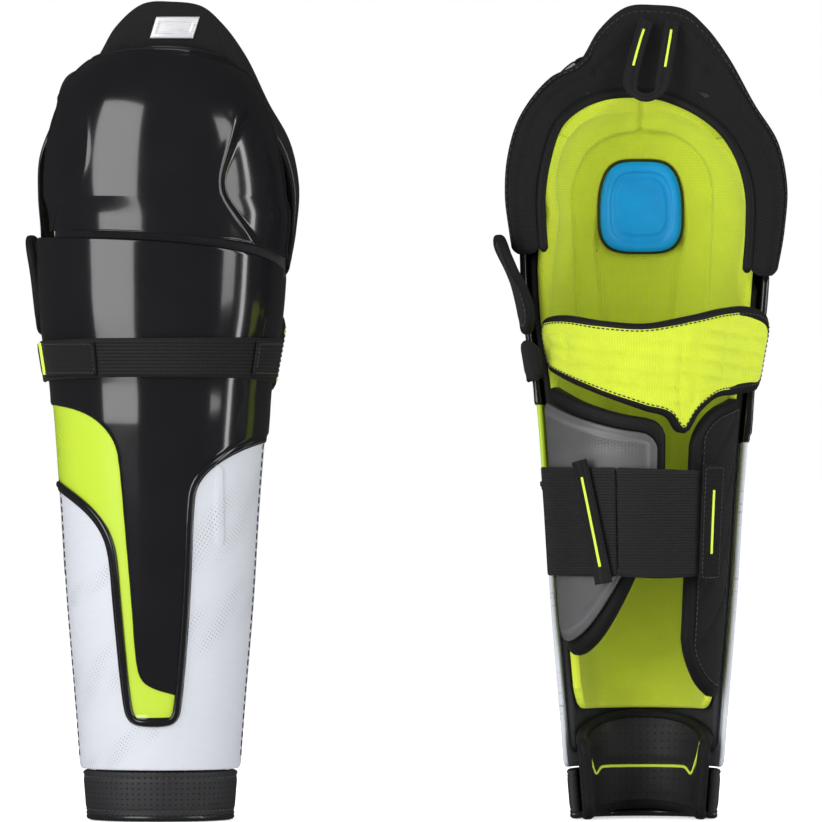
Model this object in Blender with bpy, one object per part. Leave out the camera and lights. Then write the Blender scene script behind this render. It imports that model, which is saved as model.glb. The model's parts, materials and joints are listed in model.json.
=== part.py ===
"""A pair of hockey shin guards: the right one faces -Y and the left one faces +Y.

Every length is in millimetres and becomes metres when a mesh is made. A guard is drawn in its own
frame: x towards the inner side of the leg, f forwards, z up from the surface the pair stands on.
The soft and hard layers are panels of one leg surface, each at its own distance from the leg.
"""
from dataclasses import dataclass
from math import cos, pi, radians, sin
from typing import Callable, Dict, List, Optional, Tuple

import bmesh
import bpy
import numpy as np
from mathutils import Vector

MM = 0.001
GUARD_HEIGHT = 490.0
GUARD_CENTRES = {"right": -145.0, "left": 145.0}
ANGLE_STEP = 15.0

# The leg's own surface, from the floor up: inner half width, front depth, back depth, drift in x.
LEG_HEIGHTS = (0.0, 31.0, 70.0, 130.0, 200.0, 262.0, 300.0, 349.0)
LEG_HALF_WIDTH = (31.0, 33.5, 36.5, 41.5, 46.0, 51.5, 57.5, 60.5)
LEG_FRONT = (34.0, 35.5, 38.0, 41.0, 44.0, 46.5, 47.5, 48.0)
LEG_BACK = (30.0, 33.0, 36.0, 42.0, 48.0, 50.0, 50.0, 47.0)
LEG_DRIFT = (0.0, 0.0, 0.0, 0.0, 0.0, 0.3, 0.5, 1.0)

# Layers on the leg surface: distance of the inner face from the leg, and thickness.
LINER = (0.0, 5.5)
FOAM = (7.0, 4.0)
CAP = (12.0, 3.0)
STRAP = (17.0, 2.0)
STRAP_TRIM = (20.5, 1.5)
WRAP = (0.0, 7.0)
PLATE = (9.0, 3.0)
REAR_STRAP = (14.0, 2.0)
REAR_TRIM = (17.5, 1.5)

CAP_FOOT = 31.0
CAP_LIP = 349.0
CAP_LIP_DROP = 21.0
CAP_SIDE = 84.0

KNEE_Z = 373.0
KNEE_SKIRT = 21.0
KNEE_DRIFT = 6.0
KNEE_HINGE = (10.0, 345.0)
THIGH_HINGE = (10.0, 446.0)

PAD_FOOT = 444.0
PAD_WIDTH = 45.0
PAD_DEPTH = 34.0
PAD_DRIFT = 9.0
PAD_LEAN = 0.12
PAD_SHOULDER = 55.0
BADGE_ANGLES = (-12.0, 0.0, 12.0, 24.0)
BADGE_FOOT = 468.0
BADGE_HEIGHT = 14.0
LOOP_TOP = 478.0
LOOP_FOOT = 440.0
LOOP_DEPTH = 9.0

Point = Tuple[float, float, float]
Place = Callable[[float, float], Point]


@dataclass(frozen=True)
class Dome:
    """A knee surface: a straight skirt under a rounded top that narrows by cos**power."""

    half_width: float
    depth: float
    rise: float
    power: float

    def point(self, angle: float, lift: float, out: float) -> Tuple[float, float, float]:
        """Return the point at an angle from the front; lift is -1 at the skirt's foot, +1 at the pole."""
        pitch = max(lift, 0.0) * pi / 2
        shrink = cos(pitch) ** self.power
        height = KNEE_Z + min(lift, 0.0) * KNEE_SKIRT + (self.rise + out) * sin(pitch)
        side = (self.half_width + out) * shrink * sin(radians(angle))
        return KNEE_DRIFT + side, (self.depth + out) * shrink * cos(radians(angle)), height


KNEE_INNER = Dome(60.0, 44.0, 60.0, 0.5)
KNEE_SHELL = Dome(76.0, 66.0, 88.0, 0.42)


@dataclass
class Guard:
    """One guard of the pair, with the places its own frame maps to."""

    side: str
    centre: float
    facing: float

    def world(self, x: float, f: float, z: float) -> Vector:
        """Return a point of the guard's frame in metres in the world."""
        return Vector((self.centre + x, self.facing * f, z)) * MM

    def name(self, piece: str) -> str:
        """Return the node name of one of this guard's pieces."""
        return f"{self.side}_{piece}"


def leg_point(angle: float, z: float, out: float) -> Tuple[float, float, float]:
    """Return the point of the leg surface at an angle from the front, a height and a distance out."""
    half_width = float(np.interp(z, LEG_HEIGHTS, LEG_HALF_WIDTH))
    depths = LEG_FRONT if cos(radians(angle)) >= 0.0 else LEG_BACK
    depth = float(np.interp(z, LEG_HEIGHTS, depths))
    drift = float(np.interp(z, LEG_HEIGHTS, LEG_DRIFT))
    side = (half_width + out) * sin(radians(angle))
    return drift + side, (depth + out) * cos(radians(angle)), z


def clear_scene() -> None:
    """Remove every object and mesh that the file starts with."""
    for item in list(bpy.data.objects):
        bpy.data.objects.remove(item, do_unlink=True)
    for mesh in list(bpy.data.meshes):
        bpy.data.meshes.remove(mesh)


def make_material(name: str, colour: Tuple[float, float, float], roughness: float,
                  metallic: float = 0.0) -> bpy.types.Material:
    """Return a Principled material."""
    material = bpy.data.materials.new(name)
    material.use_nodes = True
    shader = material.node_tree.nodes["Principled BSDF"]
    shader.inputs["Base Color"].default_value = (*colour, 1.0)
    shader.inputs["Roughness"].default_value = roughness
    shader.inputs["Metallic"].default_value = metallic
    material.diffuse_color = (*colour, 1.0)
    return material


def make_materials() -> Dict[str, bpy.types.Material]:
    """Return the finishes of the pair, by slot name."""
    return {
        "black_shell": make_material("black_shell", (0.012, 0.012, 0.013), 0.12),
        "black_fabric": make_material("black_fabric", (0.012, 0.012, 0.013), 0.85),
        "black_webbing": make_material("black_webbing", (0.015, 0.015, 0.016), 0.75),
        "lime_fabric": make_material("lime_fabric", (0.61, 0.73, 0.07), 0.9),
        "blue_gel": make_material("blue_gel", (0.01, 0.30, 0.65), 0.35),
        "grey_plate": make_material("grey_plate", (0.09, 0.09, 0.092), 0.45),
        "dark_foam": make_material("dark_foam", (0.05, 0.05, 0.055), 0.95),
        "silver_badge": make_material("silver_badge", (0.55, 0.55, 0.56), 0.35),
    }


def steps_between(start: float, end: float, lines: List[float], margin: float) -> List[float]:
    """Return start, the lines that lie between it and end by more than a margin, and end."""
    low, high = min(start, end), max(start, end)
    inner = [line for line in sorted(lines) if low + margin < line < high - margin]
    ordered = [low, *inner, high]
    return ordered if start <= end else ordered[::-1]


def angle_steps(start: float, end: float) -> List[float]:
    """Return the angles of a panel's columns, on lines that every layer shares."""
    lines = [ANGLE_STEP * index for index in range(-24, 25)]
    return steps_between(start, end, lines, 4.0)


def height_steps(low: float, high: float) -> List[float]:
    """Return the heights of a panel's rows, with a row on each station of the leg between its edges."""
    return steps_between(low, high, list(LEG_HEIGHTS), 9.0)


class Builder:
    """Makes the pieces of one guard and places each on its joint's empty."""

    def __init__(self, guard: Guard, collection: bpy.types.Collection,
                 materials: Dict[str, bpy.types.Material]) -> None:
        """Keep the guard, where its pieces go and what they are made of."""
        self.guard = guard
        self.collection = collection
        self.materials = materials
        self.pivots: Dict[str, bpy.types.Object] = {}

    def pivot(self, name: str, x: float, f: float, z: float, parent: Optional[str] = None) -> None:
        """Add an empty on a joint's axis."""
        empty = bpy.data.objects.new(self.guard.name(name), None)
        self.collection.objects.link(empty)
        place = self.guard.world(x, f, z)
        if parent:
            empty.parent = self.pivots[parent]
            place = place - self.pivot_place(parent)
        empty.location = place
        empty.empty_display_size = 0.02
        self.pivots[name] = empty

    def pivot_place(self, name: Optional[str]) -> Vector:
        """Return an empty's place in the world, or the world's origin for no empty."""
        place = Vector((0.0, 0.0, 0.0))
        empty = self.pivots[name] if name else None
        while empty:
            place = place + empty.location
            empty = empty.parent
        return place

    def finish(self, piece: bpy.types.Object, slot: str, pivot: Optional[str]) -> None:
        """Link a piece, give it its finish and hang it on its pivot."""
        self.collection.objects.link(piece)
        piece.data.materials.append(self.materials[slot])
        if pivot:
            piece.parent = self.pivots[pivot]

    def shell(self, name: str, slot: str, columns: int, rows: int, inner: Place, outer: Place,
              pivot: Optional[str] = None) -> None:
        """Make a closed panel from a grid: its inner face, and the same grid pulled out to its outer."""
        shift = self.pivot_place(pivot)
        mesh = bmesh.new()
        bmesh.ops.create_grid(mesh, x_segments=columns - 1, y_segments=rows - 1, size=0.5)
        for vertex in mesh.verts:
            vertex.co = (vertex.co.x + 0.5, vertex.co.y + 0.5, 0.0)
        steps = {vertex: (vertex.co.x, vertex.co.y) for vertex in mesh.verts}
        pulled = bmesh.ops.extrude_face_region(mesh, geom=mesh.faces[:], use_keep_orig=True)
        for vertex in pulled["geom"]:
            if isinstance(vertex, bmesh.types.BMVert):
                vertex.co = self.guard.world(*outer(vertex.co.x, vertex.co.y)) - shift
        for vertex, (across, up) in steps.items():
            vertex.co = self.guard.world(*inner(across, up)) - shift
        bmesh.ops.recalc_face_normals(mesh, faces=mesh.faces[:])
        if mesh.calc_volume(signed=True) < 0.0:
            bmesh.ops.reverse_faces(mesh, faces=mesh.faces[:])
        data = bpy.data.meshes.new(self.guard.name(name))
        mesh.to_mesh(data)
        mesh.free()
        self.finish(bpy.data.objects.new(self.guard.name(name), data), slot, pivot)

    def panel(self, name: str, slot: str, angles: Tuple[float, float], low: Callable[[float], float],
              high: Callable[[float], float], layer: Tuple[float, float], pivot: Optional[str] = None,
              flare: float = 0.0) -> None:
        """Make a panel of the leg surface between two angles and two heights."""
        columns = angle_steps(*angles)
        rows = height_steps(max(low(angle) for angle in columns), min(high(angle) for angle in columns))

        def place(across: float, up: float, out: float) -> Tuple[float, float, float]:
            angle = columns[round(across * (len(columns) - 1))]
            row = round(up * (len(rows) - 1))
            height = rows[row]
            if row == 0:
                height = low(angle)
            if row == len(rows) - 1:
                height = high(angle)
            return leg_point(angle, height, out + flare * up)

        self.shell(name, slot, len(columns), len(rows),
                   lambda across, up: place(across, up, layer[0]),
                   lambda across, up: place(across, up, layer[0] + layer[1]), pivot)

    def dome(self, name: str, slot: str, dome: Dome, angles: Tuple[float, float],
             lifts: Tuple[float, ...], layer: Tuple[float, float], pivot: str,
             slope: float = 0.0) -> None:
        """Make a panel of a knee surface; slope lifts its foot towards the back of the leg."""
        columns = angle_steps(*angles)

        def place(across: float, up: float, out: float) -> Tuple[float, float, float]:
            angle = columns[round(across * (len(columns) - 1))]
            lift = lifts[round(up * (len(lifts) - 1))]
            x, f, z = dome.point(angle, lift, out)
            foot_lift = slope * max(KNEE_HINGE[0] - f, 0.0) if lift < 0.0 else 0.0
            return x, f, z + foot_lift

        self.shell(name, slot, len(columns), len(lifts),
                   lambda across, up: place(across, up, layer[0]),
                   lambda across, up: place(across, up, layer[0] + layer[1]), pivot)

    def cord(self, name: str, slot: str, points: List[Tuple[float, float, float]], radius: float,
             pivot: str) -> None:
        """Make a round roll along hand-placed points."""
        data = bpy.data.curves.new(self.guard.name(name), "CURVE")
        data.dimensions = "3D"
        data.bevel_depth = radius * MM
        data.bevel_resolution = 1
        data.use_fill_caps = True
        spline = data.splines.new("POLY")
        spline.points.add(len(points) - 1)
        shift = self.pivot_place(pivot)
        for point, place in zip(spline.points, points):
            point.co = (*(self.guard.world(*place) - shift), 1.0)
        self.finish(bpy.data.objects.new(self.guard.name(name), data), slot, pivot)


def cap_lip(angle: float) -> float:
    """Return the height of the shell's top lip, which falls towards the inner side."""
    return CAP_LIP - CAP_LIP_DROP * ((angle + CAP_SIDE) / (2 * CAP_SIDE)) ** 3


def level(height: float) -> Callable[[float], float]:
    """Return an edge that stays at one height."""
    return lambda angle: height


def sloped(start: Tuple[float, float], end: Tuple[float, float],
           power: float = 1.0) -> Callable[[float], float]:
    """Return an edge that runs from one (angle, height) to another, bent by a power."""
    def edge(angle: float) -> float:
        along = max((angle - start[0]) / (end[0] - start[0]), 0.0)
        return start[1] + (end[1] - start[1]) * along ** power

    return edge


def build_shin(make: Builder) -> None:
    """Make the shell over the shin and the layers behind it."""
    make.panel("shin_cap", "black_shell", (-CAP_SIDE, CAP_SIDE), level(CAP_FOOT), cap_lip, CAP)
    make.panel("shin_foam", "dark_foam", (-78.0, 78.0), level(40.0), lambda a: cap_lip(a) - 9.0, FOAM)
    make.panel("shin_liner", "lime_fabric", (-86.0, 86.0), level(66.0),
               lambda a: cap_lip(a * 0.95) - 4.0, LINER)
    make.panel("ankle_liner", "black_fabric", (-112.0, 112.0), level(0.0), level(62.0), LINER)
    make.panel("ankle_band", "black_fabric", (-80.0, 80.0), level(3.0), level(29.0), (7.0, 5.0))
    make.panel("side_flap", "black_fabric", (-112.0, -88.0), level(292.0), level(351.0),
               (13.0, 5.0), flare=7.0)


def build_knee(make: Builder) -> None:
    """Make the knee cup, its liner, wings and gel insert, which tip back together."""
    make.pivot("knee_pivot", KNEE_DRIFT, *KNEE_HINGE)
    make.dome("knee_cap", "black_shell", KNEE_SHELL, (-68.0, 68.0), (-1.0, 0.0, 0.2, 0.4, 0.6, 0.8),
              (0.0, 3.0), "knee_pivot")
    make.dome("knee_foam", "dark_foam", KNEE_INNER, (-78.0, 78.0), (-0.8, 0.0, 0.25, 0.5, 0.75), FOAM,
              "knee_pivot", 0.3)
    make.dome("knee_liner", "lime_fabric", KNEE_INNER, (-100.0, 100.0), (-1.0, 0.0, 0.25, 0.5, 0.73), LINER,
              "knee_pivot", 0.3)
    make.dome("knee_gel", "blue_gel", KNEE_INNER, (-27.0, 27.0), (-1.0, -0.5, 0.0, 0.27), (-4.0, 3.2),
              "knee_pivot")
    for name, start, end in (("knee_wing_medial", 74.0, 108.0), ("knee_wing_lateral", -108.0, -74.0)):
        make.dome(name, "black_fabric", KNEE_INNER, (start, end), (-1.0, 0.0, 0.3, 0.55), (12.5, 6.0),
                  "knee_pivot", 0.3)
    side, top = 112.0, 0.88
    climb = [KNEE_INNER.point(side, lift, 3.0) for lift in (-0.2, 0.0, 0.2, 0.4, 0.6, 0.75, top)]
    arch = [KNEE_INNER.point(angle, top, 3.0) for angle in (60.0, 0.0, -60.0)]
    fall = [KNEE_INNER.point(-side, lift, 3.0) for lift in (top, 0.75, 0.6, 0.4, 0.2, 0.0, -0.2)]
    make.cord("knee_piping", "black_fabric", climb + arch + fall, 2.5, "knee_pivot")


def thigh_surface(angle: float, height: float, half_width: float, depth: float) -> Tuple[float, float, float]:
    """Return a point of a surface round the thigh, which leans back as it rises."""
    lean = PAD_LEAN * (height - PAD_FOOT)
    return PAD_DRIFT + half_width * sin(radians(angle)), (depth - lean) * cos(radians(angle)), height


def thigh_point(angle: float, up: float, foot: float, head: float, half_width: float,
                depth: float) -> Tuple[float, float, float]:
    """Return a point of the thigh pad, whose top edge falls away from a rounded peak."""
    peak = head - PAD_SHOULDER * abs(sin(radians(angle))) ** 2.4
    return thigh_surface(angle, foot + (peak - foot) * up, half_width, depth)


def build_thigh(make: Builder) -> None:
    """Make the thigh pad, its lining and badge, and the loop that hangs inside it."""
    make.pivot("thigh_pivot", KNEE_DRIFT, *THIGH_HINGE, parent="knee_pivot")

    def pad_face(angles: List[float], foot_z: float, head_z: float, width: float, depth: float) -> Place:
        return lambda across, up: thigh_point(angles[round(across * (len(angles) - 1))], up, foot_z, head_z,
                                              width, depth)

    columns = angle_steps(-62.0, 62.0)
    make.shell("thigh_pad", "black_fabric", len(columns), 4,
               pad_face(columns, PAD_FOOT, GUARD_HEIGHT, PAD_WIDTH - 8.0, PAD_DEPTH - 8.0),
               pad_face(columns, PAD_FOOT, GUARD_HEIGHT, PAD_WIDTH, PAD_DEPTH), "thigh_pivot")
    make.shell("thigh_lining", "black_fabric", len(columns), 4,
               pad_face(columns, PAD_FOOT + 4.0, GUARD_HEIGHT - 3.0, PAD_WIDTH - 14.0, PAD_DEPTH - 14.0),
               pad_face(columns, PAD_FOOT + 4.0, GUARD_HEIGHT - 3.0, PAD_WIDTH - 9.0, PAD_DEPTH - 9.0),
               "thigh_pivot")

    def badge_face(out: float) -> Place:
        def place(across: float, up: float) -> Point:
            angle = BADGE_ANGLES[round(across * (len(BADGE_ANGLES) - 1))]
            return thigh_surface(angle, BADGE_FOOT + BADGE_HEIGHT * up, PAD_WIDTH + out, PAD_DEPTH + out)

        return place

    make.shell("thigh_badge", "silver_badge", len(BADGE_ANGLES), 2, badge_face(1.2), badge_face(2.7),
               "thigh_pivot")

    make.pivot("loop_pivot", KNEE_DRIFT, LOOP_DEPTH, LOOP_TOP, parent="thigh_pivot")
    loop = [(-2.0, LOOP_DEPTH, LOOP_TOP), (-5.0, LOOP_DEPTH, 455.0), (-3.0, LOOP_DEPTH, 445.0)]
    loop += [(4.0, LOOP_DEPTH, LOOP_FOOT), (11.0, LOOP_DEPTH, 445.0), (13.0, LOOP_DEPTH, 455.0)]
    loop += [(16.0, LOOP_DEPTH, LOOP_TOP)]
    make.cord("pull_loop", "black_webbing", loop, 2.0, "loop_pivot")


def build_front_strap(make: Builder) -> None:
    """Make the strap that wraps the shell below the knee, with its label, tab and anchor."""
    x, f, _ = leg_point(-90.0, 275.0, STRAP[0] + 1.0)
    make.pivot("front_strap_pivot", x, f, 275.0)
    make.panel("front_strap", "black_webbing", (-88.0, 78.0), level(263.0), level(287.0), STRAP,
               "front_strap_pivot")
    make.panel("front_strap_patch", "black_webbing", (-72.0, -30.0), level(266.0), level(284.0), STRAP_TRIM,
               "front_strap_pivot")
    make.panel("front_strap_tab", "black_webbing", (50.0, 74.0), level(265.0), level(285.0), STRAP_TRIM,
               "front_strap_pivot")
    make.panel("front_strap_anchor", "black_fabric", (-112.0, -93.0), level(264.0), level(286.0), (13.0, 6.0))


def build_rear(make: Builder) -> None:
    """Make the wraps, the calf plate and the rear strap."""
    x, f, _ = leg_point(90.0, 250.0, 3.5)
    make.pivot("medial_wrap_pivot", x, f, 250.0)
    make.panel("medial_wrap", "black_fabric", (92.0, 148.0), sloped((92.0, 72.0), (148.0, 96.0)),
               sloped((92.0, 252.0), (148.0, 232.0)), WRAP, "medial_wrap_pivot")
    make.panel("medial_hook_patch", "black_webbing", (120.0, 142.0), level(150.0), level(208.0), (8.6, 1.4),
               "medial_wrap_pivot")

    x, f, _ = leg_point(90.0, 300.0, 3.0)
    make.pivot("upper_wrap_pivot", x, f, 300.0)
    make.panel("upper_calf_wrap", "lime_fabric", (92.0, 262.0), upper_wrap_foot, upper_wrap_head, (0.0, 6.0),
               "upper_wrap_pivot")

    x, f, _ = leg_point(-90.0, 200.0, 5.0)
    make.pivot("calf_pivot", x, f, 200.0)
    make.panel("calf_wrap", "black_fabric", (-192.0, -92.0), calf_foot, calf_head, WRAP, "calf_pivot")
    make.panel("calf_guard", "grey_plate", (-188.0, -98.0), lambda a: calf_foot(a) + 6.0,
               lambda a: calf_head(a) - 6.0, PLATE, "calf_pivot")
    make.panel("rear_strap_base", "black_webbing", (-160.0, -98.0), level(146.0), level(212.0), REAR_STRAP,
               "calf_pivot")
    make.panel("strap_keeper", "black_webbing", (-158.0, -143.0), level(141.0), level(217.0), REAR_TRIM,
               "calf_pivot")
    x, f, _ = leg_point(-163.0, 180.0, REAR_STRAP[0] + REAR_STRAP[1] + 0.2)
    make.pivot("rear_strap_pivot", x, f, 180.0, parent="calf_pivot")
    make.panel("rear_strap", "black_webbing", (-222.0, -166.0), level(146.0), level(212.0), REAR_STRAP,
               "rear_strap_pivot")
    make.panel("rear_strap_tab", "black_webbing", (-226.0, -211.0), level(144.0), level(214.0), REAR_TRIM,
               "rear_strap_pivot")


def calf_foot(angle: float) -> float:
    """Return the height of the calf plate's lower edge, which rises across the calf."""
    return 100.0 + 100.0 * max((-92.0 - angle) / 100.0, 0.0) ** 2.5


def calf_head(angle: float) -> float:
    """Return the height of the calf plate's upper edge, which falls across the calf."""
    return 259.0 - 24.0 * (-92.0 - angle) / 100.0


def upper_wrap_foot(angle: float) -> float:
    """Return the upper wrap's lower edge: a low point behind the calf, higher at both ends."""
    return 262.0 - 20.0 * sin(radians((angle - 92.0) * 1.06)) ** 2 + 5.0 * (angle - 92.0) / 170.0


def upper_wrap_head(angle: float) -> float:
    """Return the upper wrap's top edge, a little lower behind the calf than at its root."""
    return 306.0 - 10.0 * sin(radians((angle - 92.0) * 1.06))


def build_guard(guard: Guard, collection: bpy.types.Collection,
                materials: Dict[str, bpy.types.Material]) -> None:
    """Make every piece of one guard."""
    make = Builder(guard, collection, materials)
    build_shin(make)
    build_knee(make)
    build_thigh(make)
    build_front_strap(make)
    build_rear(make)


def main() -> None:
    """Build the pair."""
    clear_scene()
    collection = bpy.data.collections.new("hockey_shin_guards")
    bpy.context.scene.collection.children.link(collection)
    materials = make_materials()
    for side, facing in (("right", -1.0), ("left", 1.0)):
        build_guard(Guard(side, GUARD_CENTRES[side], facing), collection, materials)


main()
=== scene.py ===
"""The looks of a pair of hockey shin guards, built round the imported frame.

Every length is in millimetres in a guard's own frame, x towards the inner side of the leg, f forwards
and z up, and becomes metres in the shared frame when a mesh is made. The right guard faces -Y and the
left one faces +Y, and both are built by the same classes.
"""

import json
import logging
from dataclasses import dataclass, field
from enum import Enum
from typing import Callable, Dict, List, Optional, Sequence, Tuple, Union

import bmesh
import bpy
import numpy as np
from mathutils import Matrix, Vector

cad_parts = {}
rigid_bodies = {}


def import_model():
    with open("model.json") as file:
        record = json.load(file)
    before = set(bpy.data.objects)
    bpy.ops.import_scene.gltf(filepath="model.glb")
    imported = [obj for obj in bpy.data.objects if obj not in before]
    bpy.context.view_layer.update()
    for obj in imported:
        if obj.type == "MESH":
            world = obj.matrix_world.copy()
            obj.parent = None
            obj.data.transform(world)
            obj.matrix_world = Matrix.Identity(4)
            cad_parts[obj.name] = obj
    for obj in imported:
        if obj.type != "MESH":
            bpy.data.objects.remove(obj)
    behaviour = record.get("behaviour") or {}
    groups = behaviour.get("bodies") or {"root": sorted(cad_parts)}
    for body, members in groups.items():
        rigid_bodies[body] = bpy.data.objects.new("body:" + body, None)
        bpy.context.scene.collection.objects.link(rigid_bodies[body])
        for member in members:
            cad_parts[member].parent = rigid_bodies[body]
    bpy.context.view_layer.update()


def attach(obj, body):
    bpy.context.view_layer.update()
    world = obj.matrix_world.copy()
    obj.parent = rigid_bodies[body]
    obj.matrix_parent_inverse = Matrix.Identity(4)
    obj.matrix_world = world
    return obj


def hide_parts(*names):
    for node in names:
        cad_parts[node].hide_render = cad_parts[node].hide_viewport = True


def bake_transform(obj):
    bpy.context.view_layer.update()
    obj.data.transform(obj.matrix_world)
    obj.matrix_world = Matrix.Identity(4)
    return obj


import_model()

Array = np.ndarray
Colour = Tuple[float, float, float]
Pair = Tuple[float, float]
Level = Callable[[Array], Array]

MM = 0.001
ROOT = "shins"
LOG = logging.getLogger("shin_guards")


# ---------------------------------------------------------------- curves and regions


def hermite(at: Union[float, Array], knots: Sequence[float], values: Sequence) -> Array:
    """Smooth interpolation of stations.

    Cubic Hermite: with t from 0 to 1 across an interval h, the value is (1+2t)(1-t)^2 p + t(1-t)^2 h m
    + t^2(3-2t) q + t^2(t-1) h n, where m and n are the slopes at the ends.

    Args:
        at: where the values are wanted.
        knots: rising stations.
        values: one number or point for each station.

    Returns:
        The values at those places, held constant past the ends.
    """
    table = np.asarray(values, float)
    stations = np.asarray(knots, float)
    slopes = np.gradient(table, stations, axis=0)
    where = np.clip(np.asarray(at, float), stations[0], stations[-1])
    left = np.clip(np.searchsorted(stations, where, side="right") - 1, 0, len(stations) - 2)
    width = stations[left + 1] - stations[left]
    t = (where - stations[left]) / width
    if table.ndim > 1:
        t = t[..., None]
        width = width[..., None]
    low, high = table[left], table[left + 1]
    return ((1 + 2 * t) * (1 - t) ** 2 * low + t * (1 - t) ** 2 * width * slopes[left]
            + t ** 2 * (3 - 2 * t) * high + t ** 2 * (t - 1) * width * slopes[left + 1])


def smooth(value: Array, low: float, high: float) -> Array:
    """Return 0 below low, 1 above high and t^2(3-2t) between them."""
    t = np.clip((value - low) / (high - low), 0.0, 1.0)
    return t * t * (3 - 2 * t)


def rounded(points: Sequence, rounds: int = 2, closed: bool = False) -> Array:
    """Return a line with its corners cut: each pass puts points at a quarter and three quarters of a side."""
    line = np.asarray(points, float)
    for _ in range(rounds):
        after = np.roll(line, -1, axis=0) if closed else line[1:]
        before = line if closed else line[:-1]
        cut = np.stack([0.75 * before + 0.25 * after, 0.25 * before + 0.75 * after], axis=1)
        cut = cut.reshape(-1, line.shape[1])
        line = cut if closed else np.vstack([line[:1], cut[1:-1], line[-1:]])
    return line


def lengths_along(line: Array) -> Array:
    """Return the length of a line up to each of its points."""
    return np.concatenate([[0.0], np.cumsum(np.linalg.norm(np.diff(line, axis=0), axis=1))])


def unit(vectors: Array) -> Array:
    """Return vectors of length 1 that point the same way."""
    return vectors / np.linalg.norm(vectors, axis=-1, keepdims=True)


def resampled(points: Array, step: float, closed: bool = False) -> Array:
    """Return a line's points at equal steps of arc length, near the step asked for."""
    line = np.vstack([points, points[:1]]) if closed else np.asarray(points, float)
    lengths = lengths_along(line)
    count = max(int(round(lengths[-1] / step)), 3)
    wanted = np.linspace(0.0, lengths[-1], count + 1)
    wanted = wanted[:-1] if closed else wanted
    return np.stack([np.interp(wanted, lengths, line[:, axis]) for axis in range(line.shape[1])], axis=1)


def away(points: Array, line: Array, closed: bool = False) -> Array:
    """Distance from a polyline in a plane.

    For each side a to b it is |p - a - t(b - a)| with t = (p-a).(b-a)/|b-a|^2 clipped to 0..1, and the
    least over the sides is kept.

    Args:
        points: places, with their two coordinates last.
        line: the polyline's corners.
        closed: whether the last corner joins the first.

    Returns:
        The distance of each place.
    """
    starts = line if closed else line[:-1]
    ends = np.roll(line, -1, axis=0) if closed else line[1:]
    best = np.full(points.shape[:-1], np.inf)
    for start, end in zip(starts, ends):
        side = end - start
        share = np.clip(((points - start) @ side) / max(float(side @ side), 1e-9), 0.0, 1.0)
        best = np.minimum(best, np.linalg.norm(points - start - share[..., None] * side, axis=-1))
    return best


def signed(points: Array, outline: Array) -> Array:
    """Return each place's distance from a closed outline, above 0 inside it and below 0 outside."""
    starts, ends = outline, np.roll(outline, -1, axis=0)
    odd = np.zeros(points.shape[:-1], bool)
    for start, end in zip(starts, ends):
        spans = (start[1] > points[..., 1]) != (end[1] > points[..., 1])
        rise = end[1] - start[1]
        if abs(rise) > 1e-9:
            crossing = start[0] + (points[..., 1] - start[1]) * (end[0] - start[0]) / rise
            odd ^= spans & (points[..., 0] < crossing)
    return np.where(odd, 1.0, -1.0) * away(points, outline, closed=True)


def bevel(distance: Array, radius: float) -> Array:
    """Return a quarter circle's rise: 0 at an edge and 1 from the radius inwards."""
    return np.sqrt(1.0 - (1.0 - np.clip(distance / radius, 0.0, 1.0)) ** 2)


def groove(distance: Array, width: float) -> Array:
    """Return a rounded groove's share of its depth: exp(-(distance/width)^2)."""
    return np.exp(-(distance / width) ** 2)


# ---------------------------------------------------------------- surfaces that the layers follow


class Form:
    """A surface given by an angle round the leg, a second coordinate and a distance out."""

    nudge: Pair = (0.4, 0.4)

    def point(self, angle: Array, along: Array, out: Array) -> Array:
        """Return points x, f, z of the surface."""
        raise NotImplementedError

    def normal(self, angle: Array, along: Array, out: Array) -> Array:
        """Return unit normals that point away from the leg, from central differences both ways."""
        turn, climb = self.nudge
        across = self.point(angle + turn, along, out) - self.point(angle - turn, along, out)
        upward = self.point(angle, along + climb, out) - self.point(angle, along - climb, out)
        facing = np.cross(across, upward)
        outward = self.point(angle, along, out + 1.0) - self.point(angle, along, out)
        facing *= np.sign(np.sum(facing * outward, axis=-1, keepdims=True))
        return facing / np.maximum(np.linalg.norm(facing, axis=-1, keepdims=True), 1e-9)


@dataclass(frozen=True)
class Leg(Form):
    """The leg under the shell: half ellipses in front and behind, at stations up the leg."""

    heights: Tuple[float, ...] = (0.0, 31.0, 70.0, 130.0, 200.0, 262.0, 300.0, 349.0)
    half_widths: Tuple[float, ...] = (31.0, 33.5, 36.5, 41.5, 46.0, 51.5, 57.5, 60.5)
    fronts: Tuple[float, ...] = (34.0, 35.5, 38.0, 41.0, 44.0, 46.5, 47.5, 48.0)
    backs: Tuple[float, ...] = (30.0, 33.0, 36.0, 42.0, 48.0, 50.0, 50.0, 47.0)
    drifts: Tuple[float, ...] = (0.0, 0.0, 0.0, 0.0, 0.0, 0.3, 0.5, 1.0)

    def point(self, angle: Array, along: Array, out: Array) -> Array:
        """Return drift + (half width + out) sin a, (depth + out) cos a, z, with angle 0 in front."""
        turn = np.radians(angle)
        wide = hermite(along, self.heights, self.half_widths) + out
        deep = np.where(np.cos(turn) >= 0.0, hermite(along, self.heights, self.fronts),
                        hermite(along, self.heights, self.backs)) + out
        x = hermite(along, self.heights, self.drifts) + wide * np.sin(turn)
        return np.stack(np.broadcast_arrays(x, deep * np.cos(turn), along), axis=-1).astype(float)

    def angle_at(self, x: Array, height: Array, out: float, behind: bool = False) -> Array:
        """Return the angle of the point at an x: asin((x - drift)/(half width + out)), or 180 less that."""
        wide = hermite(height, self.heights, self.half_widths) + out
        turn = np.degrees(np.arcsin(np.clip((x - hermite(height, self.heights, self.drifts)) / wide, -0.999, 0.999)))
        return 180.0 - turn if behind else turn


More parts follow.
